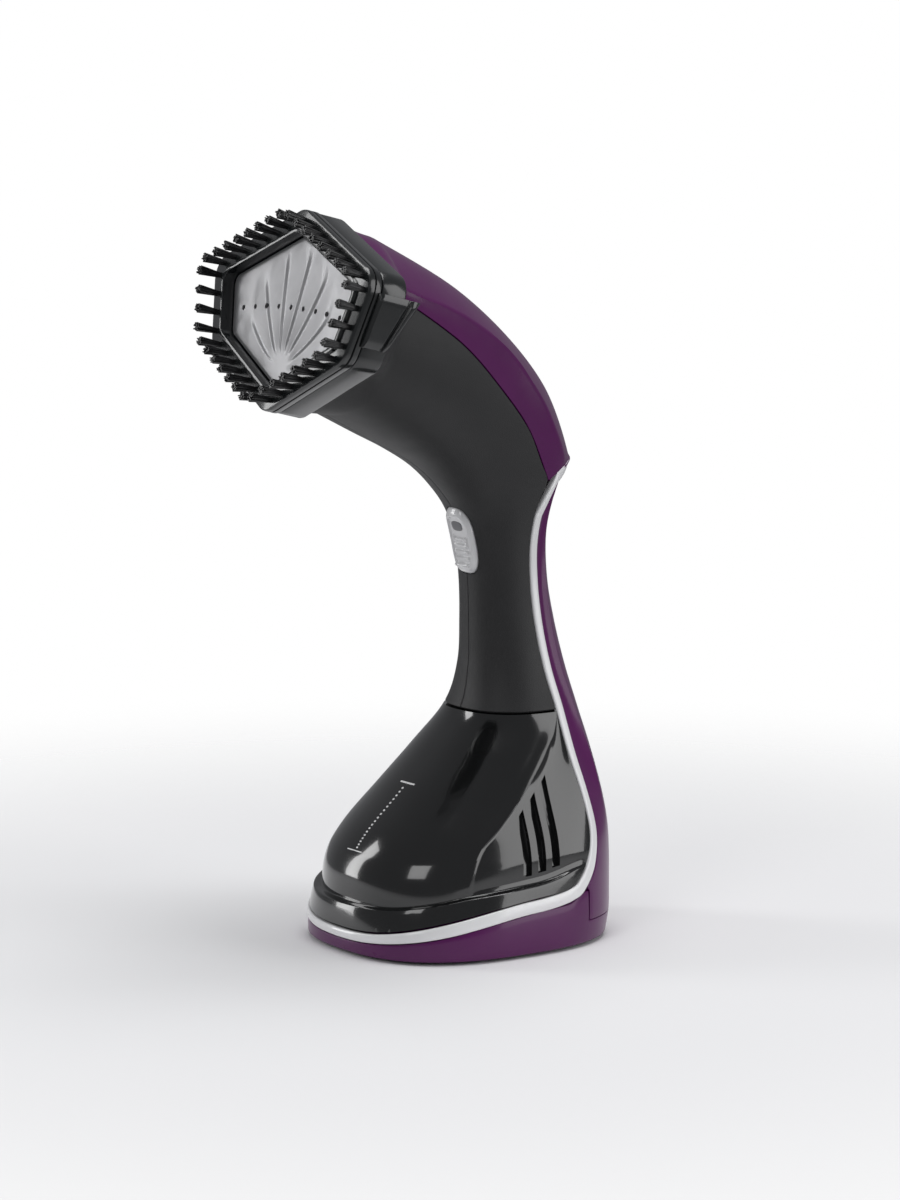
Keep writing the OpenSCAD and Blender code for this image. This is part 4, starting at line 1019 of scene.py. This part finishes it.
# ---- clip arms that reach back over the collar's sides
def clip(side):
    """The arm on one side, with a groove before the raised tab at its back end."""
    low_y, high_y, front_z, inner_g, root_g = -7.5, 12.5, 22.4, 9.05, 9.3
    across, along = 20, 26
    a, b = Vector(PLATE[4]), Vector(PLATE[5])
    n = Vector((b.y - a.y, a.x - b.x)).normalized()
    outer, inner = [], []
    for j in range(across + 1):
        y = mix(low_y, high_y, j / across)
        base = a.x + (b.x - a.x) * (y - a.y) / (b.y - a.y)
        back_z = mix(11.5, 4.5, j / across)
        fullness = min(1, 0.55 + 0.45 * ease(min(j, across - j) / 2.5))
        outer_row, inner_row = [], []
        for k in range(along + 1):
            v = k / along
            g = 11.0
            if 0.70 < v < 0.78:
                g = 10.2
            elif v >= 0.78:
                g = 11.6 - 1.6 * ease((v - 0.9) / 0.1)
            if v < 0.06:
                g = mix(root_g, g, v / 0.06)
            g = mix(root_g, g, fullness)
            z = mix(front_z, back_z, v)
            outer_row.append(head(side * (base + g / n.x), y, z))
            inner_row.append(head(side * (base + inner_g / n.x), y, z))
        outer.append(outer_row)
        inner.append(inner_row)
    return walls(outer, inner)


for side, word in ((-1, "left"), (1, "right")):
    piece("clip_arm_" + word, clip(side), GLOSS, "brush", bevel=0.3, sharp=35)

# ---- sole plate with raised petals and steam holes
SOLE_Z = FRONT_Z - PLATE_RECESS


PETALS, PETAL_DEG, PETAL_HGT, FAN_Y = 7, 28, 0.8, -19


def petals(x, y):
    """Height of the relief: curved petals that fan up from the foot of the plate."""
    r = math.hypot(x, y - FAN_Y)
    a = math.degrees(math.atan2(x, y - FAN_Y))
    a += 0.55 * r * math.copysign(min(abs(a) / 60, 1), a)
    k = (a + PETALS * PETAL_DEG / 2) / PETAL_DEG
    if k < 0 or k > PETALS:
        return 0
    f = k - math.floor(k)
    body = f ** 1.2 * (1 - ease((f - 0.88) / 0.12))
    end = (27 + 17 * cosd(a * 1.15)) * (0.82 + 0.18 * math.sin(math.pi * f))
    return PETAL_HGT * body * ease((r - 4) / 8) * (1 - ease((r - end) / 9))


def sole_plate():
    """The plate as rings that shrink towards its middle, with a rounded edge."""
    around = head_outline(0, 4, steps=12)
    pts = []
    for i, p in enumerate(around):
        q = around[(i + 1) % len(around)]
        n = max(1, round(math.dist(p, q) / 0.8))
        pts += [mix(p, q, k / n) for k in range(n)]
    rings = []
    rows, mid_y = 62, 1.5
    for i in range(rows):
        k = (i + 0.4) / (rows - 0.6)
        edge = ease((k - 0.93) / 0.07)
        low = SOLE_Z - 0.5 * edge * edge
        spots = [(x * k, mid_y + (y - mid_y) * k) for x, y in pts]
        rings.append([head(x, y, low + petals(x, y) * (1 - edge)) for x, y in spots])
    rings.append([head(x, y, SOLE_Z - 2) for x, y in pts])
    return loft(rings)


holes = []
for i in range(STEAM_HOLES):
    k = i - STEAM_HOLES // 2

    def at_hole(a, b, h, k=k):
        return head(a + k * STEAM_PITCH, b + 3.8 - 0.12 * k * k, SOLE_Z - 4 + h)

    holes.append(disc([(STEAM_BORE / 2, 0), (STEAM_BORE / 2, 8)], at_hole, 20))
piece("steam_plate", sole_plate(), PLATE_MAT, "body", ("sole_plate",),
      sharp=50, cut=cutter(join(holes)))


# ---- bristles: tufts of separate fibres
def fibre(root, tip, r0, r1):
    """A six-sided fibre from root to tip."""
    axis = (Vector(tip) - Vector(root)).normalized()
    a = axis.orthogonal().normalized()
    b = axis.cross(a)
    rings = []
    for p, r in ((root, r0), (mix(root, tip, 0.6), mix(r0, r1, 0.6)), (tip, r1)):
        rings.append([tuple(Vector(p) + (a * cosd(60 * k) + b * sind(60 * k)) * r) for k in range(6)])
    return loft(rings)


def tuft_places():
    """The tufts' middles along the frame's six sides."""
    line = [c[0] for c in corners(FRAME_RIM * 0.61)]
    out = []
    for i, n in enumerate((8, 4, 7, 7, 4, 8)):
        a, b = line[i], line[(i + 1) % 6]
        out += [a.lerp(b, (k + 0.5) / n) for k in range(n)]
    return out


fibres = []
CORE = [(0.9, -0.6), (1.35, 6.8), (1.1, 7.6)]
TUFT_FIBRES, TUFT_SINK, TUFT_ROOT_R = 40, 0.6, 0.9
for place in tuft_places():
    lean = 0.08 * (place - Vector((0, 2))).normalized()

    def at_tuft(x, y, h, q=place, w=lean):
        return head(q.x + x + w.x * h, q.y + y + w.y * h, FLANGE_Z + h)

    fibres.append(disc(CORE, at_tuft, 12))
    for k in range(TUFT_FIBRES):
        r = math.sqrt((k + 0.5) / TUFT_FIBRES)
        a = 137.5 * k + random.uniform(-12, 12)
        dx, dy = r * cosd(a), r * sind(a)
        length = 8.6 + random.uniform(-0.55, 0.35)
        root = head(place.x + TUFT_ROOT_R * dx, place.y + TUFT_ROOT_R * dy, FLANGE_Z - TUFT_SINK)
        spread = 1.65 + random.uniform(-0.1, 0.15)
        x, y = place.x + spread * dx + lean.x * length, place.y + spread * dy + lean.y * length
        fibres.append(fibre(root, head(x, y, FLANGE_Z + length), 0.22, 0.26))
piece("bristles", join(fibres), BRISTLE, "brush", ("bristle_tufts",), sharp=60)

# ---------------------------- trigger
def trigger_mesh():
    """A button with a raised rim, a dished middle and a ladder of ribs, sunk into the slot."""
    outline = trigger_outline(0)
    cz = SLOT_LOW + TRIGGER_GAP + TRIGGER_HGT / 2
    rim_share, levels = 0.80, 60
    rib_low, rib_high, rib_pitch, rib_half = -10.5, 2.2, 2.54, 4.3
    rings = []
    for i in range(levels):
        k = (i + 0.3) / (levels - 0.7)
        lift = 1.9 * (1 - max(0, (k - rim_share) / 0.2) ** 2.2)
        dish = 0.8 * ease((rim_share - k) / 0.07)
        ring = []
        for x, z in outline:
            px, pz = x * k, cz + (z - cz) * k
            p, n = on_front_frame(px, pz)
            rib = 0.0
            if abs(px) < rib_half and rib_low < pz - cz < rib_high:
                f = ((pz - cz - rib_low) / rib_pitch) % 1
                rib = 0.8 * ease((0.5 - abs(f - 0.5) - 0.2) / 0.14) * ease((rib_half - abs(px)) / 0.5)
            ring.append(tuple(p + n * (lift - dish + rib)))
        rings.append(ring)
    low = [on_front_frame(x, z) for x, z in outline]
    rings += [[tuple(p + n * d) for p, n in low] for d in (-0.9, -2.6)]
    return loft(rings)


piece("trigger_button", trigger_mesh(), BUTTON, "trigger", ("trigger",), sharp=45)


def trigger_recess_shade():
    """A grey oval patch at the top of the trigger, above the ribs: painted shade that stands for the
    shadowed recess there.
    """
    mid_z = SLOT_LOW + TRIGGER_HGT - 6.6
    turns = range(0, 360, 10)
    frames = [on_front_frame(3.1 * curl(cosd(a), 3), mid_z + 1.9 * curl(sind(a), 3)) for a in turns]
    return loft([[tuple(p + n * d) for p, n in frames] for d in (0.9, 1.32)])


# painted shade: a thin grey sheet where the trigger has a shadowed recess above its ribs
piece("trigger_recess_shade", trigger_recess_shade(), RECESS_SHADE, "trigger", bevel=0.1)

# ---------------------------- cord gland and feet
ribs = [(GLAND_BORE / 2, -8), (GLAND_BORE / 2, 2.2), (GLAND_BORE / 2 + 0.4, 2.5), (4.7, 2.5), (5.1, 2.2),
        (5.3, 1.6), (5.3, 0.9), (5.9, 0.9), (6.4, 0.7), (6.6, 0.2), (6.4, -0.1), (5.9, -0.2),
        (5.9, -3.6), (7.4, -3.7), (7.4, -6.6), (5.6, -8)]
piece("gland_bush", lathe(ribs, along_y(BASE_LEN / 2 * 1.047, GLAND_Z)),
      RUBBER, "body", ("cord_gland",), sharp=40)

pad = [(0.02, 0.15), (3.6, 0.15), (3.9, 0.02), (4.3, 0.0), (5.3, 0.0), (5.7, 0.15), (6, 0.5), (6, 2.2),
       (0.02, 2.2)]
pads = []
for x in (-20, 20):
    for y in (-31.9, 31.9):
        pads.append(disc(pad, lambda a, b, h, x=x, y=y: (x + a, y + b, h)))
piece("foot_pads", join(pads), RUBBER, "body", ("rubber_feet",), sharp=40)

# ---------------------------- studio
def floor():
    """A round pale floor that fades out to the white backdrop."""
    n, radius = 96, 1.6
    verts = [(0, 0, 0)] + [(radius * cosd(360 * k / n), radius * sind(360 * k / n), 0) for k in range(n)]
    me = bpy.data.meshes.new("studio_floor")
    me.from_pydata(verts, [], [(0, k + 1, (k + 1) % n + 1) for k in range(n)])
    ob = bpy.data.objects.new("studio_floor", me)
    bpy.context.scene.collection.objects.link(ob)
    m = bpy.data.materials.new("floor_white")
    m.use_nodes = True
    nt = m.node_tree
    b = nt.nodes["Principled BSDF"]
    b.inputs["Base Color"].default_value = (0.93, 0.93, 0.94, 1)
    b.inputs["Roughness"].default_value = 0.75
    b.inputs["Specular IOR Level"].default_value = 0.1
    where = nt.nodes.new("ShaderNodeTexCoord")
    far = nt.nodes.new("ShaderNodeVectorMath")
    far.operation = "LENGTH"
    fade = nt.nodes.new("ShaderNodeMapRange")
    fade.interpolation_type = "SMOOTHSTEP"
    fade.inputs["From Min"].default_value = 0.16
    fade.inputs["From Max"].default_value = 0.55
    clear = nt.nodes.new("ShaderNodeBsdfTransparent")
    blend = nt.nodes.new("ShaderNodeMixShader")
    nt.links.new(where.outputs["Object"], far.inputs[0])
    nt.links.new(far.outputs["Value"], fade.inputs["Value"])
    nt.links.new(fade.outputs["Result"], blend.inputs["Fac"])
    nt.links.new(b.outputs["BSDF"], blend.inputs[1])
    nt.links.new(clear.outputs["BSDF"], blend.inputs[2])
    nt.links.new(blend.outputs["Shader"], nt.nodes["Material Output"].inputs["Surface"])
    me.materials.append(m)


floor()
# camera angles in degrees, distance and target in metres
AZIMUTH, ELEVATION, DISTANCE = 55.26, 8.38, 1.501
TARGET = Vector((0, -0.00302, 0.13029))
right = Vector((cosd(AZIMUTH), sind(AZIMUTH), 0))
back = Vector((sind(AZIMUTH) * cosd(ELEVATION), -cosd(AZIMUTH) * cosd(ELEVATION), sind(ELEVATION)))
flat_back = Vector((sind(AZIMUTH), -cosd(AZIMUTH), 0))


def light(name, place, power, size, tall=None, aim=(0, 0, 0.14)):
    """A soft area light turned towards the middle of the part."""
    data = bpy.data.lights.new(name, "AREA")
    data.energy = power
    data.shape = "RECTANGLE"
    data.size = size
    data.size_y = tall or size
    ob = bpy.data.objects.new(name, data)
    bpy.context.scene.collection.objects.link(ob)
    ob.location = place
    ob.rotation_euler = (Vector(aim) - Vector(place)).to_track_quat("-Z", "Y").to_euler()


light("key_right", right * 1.45 + flat_back * 0.5 + Vector((0, 0, 0.55)), 9, 1.0, tall=1.3)
light("rim_left", right * -1.4 - flat_back * 0.35 + Vector((0, 0, 0.5)), 6, 0.3, tall=1.2)
light("top", Vector((0, 0, 1.5)) + right * 0.1, 12, 0.9)
light("fill_left", right * -0.9 + flat_back * 1.6 + Vector((0, 0, 1.0)), 4.5, 0.7)

world = bpy.data.worlds.new("studio")
bpy.context.scene.world = world
world.use_nodes = True
nt = world.node_tree
nt.nodes.clear()
out = nt.nodes.new("ShaderNodeOutputWorld")
pick = nt.nodes.new("ShaderNodeMixShader")
seen = nt.nodes.new("ShaderNodeBackground")
lit = nt.nodes.new("ShaderNodeBackground")
path = nt.nodes.new("ShaderNodeLightPath")
seen.inputs["Color"].default_value = (1, 1, 1, 1)
seen.inputs["Strength"].default_value = 1.0
lit.inputs["Color"].default_value = (0.95, 0.96, 1, 1)
lit.inputs["Strength"].default_value = 0.22
nt.links.new(path.outputs["Is Camera Ray"], pick.inputs["Fac"])
nt.links.new(lit.outputs["Background"], pick.inputs[1])
nt.links.new(seen.outputs["Background"], pick.inputs[2])
nt.links.new(pick.outputs["Shader"], out.inputs["Surface"])
bpy.context.scene.view_settings.view_transform = "Standard"

cam = bpy.data.cameras.new("camera")
cam.sensor_width = 36
cam.lens = 117.98
cam.clip_start = 0.05
cam_ob = bpy.data.objects.new("camera", cam)
bpy.context.scene.collection.objects.link(cam_ob)
cam_ob.location = TARGET + back * DISTANCE
cam_ob.rotation_euler = back.to_track_quat("Z", "Y").to_euler()
bpy.context.scene.camera = cam_ob
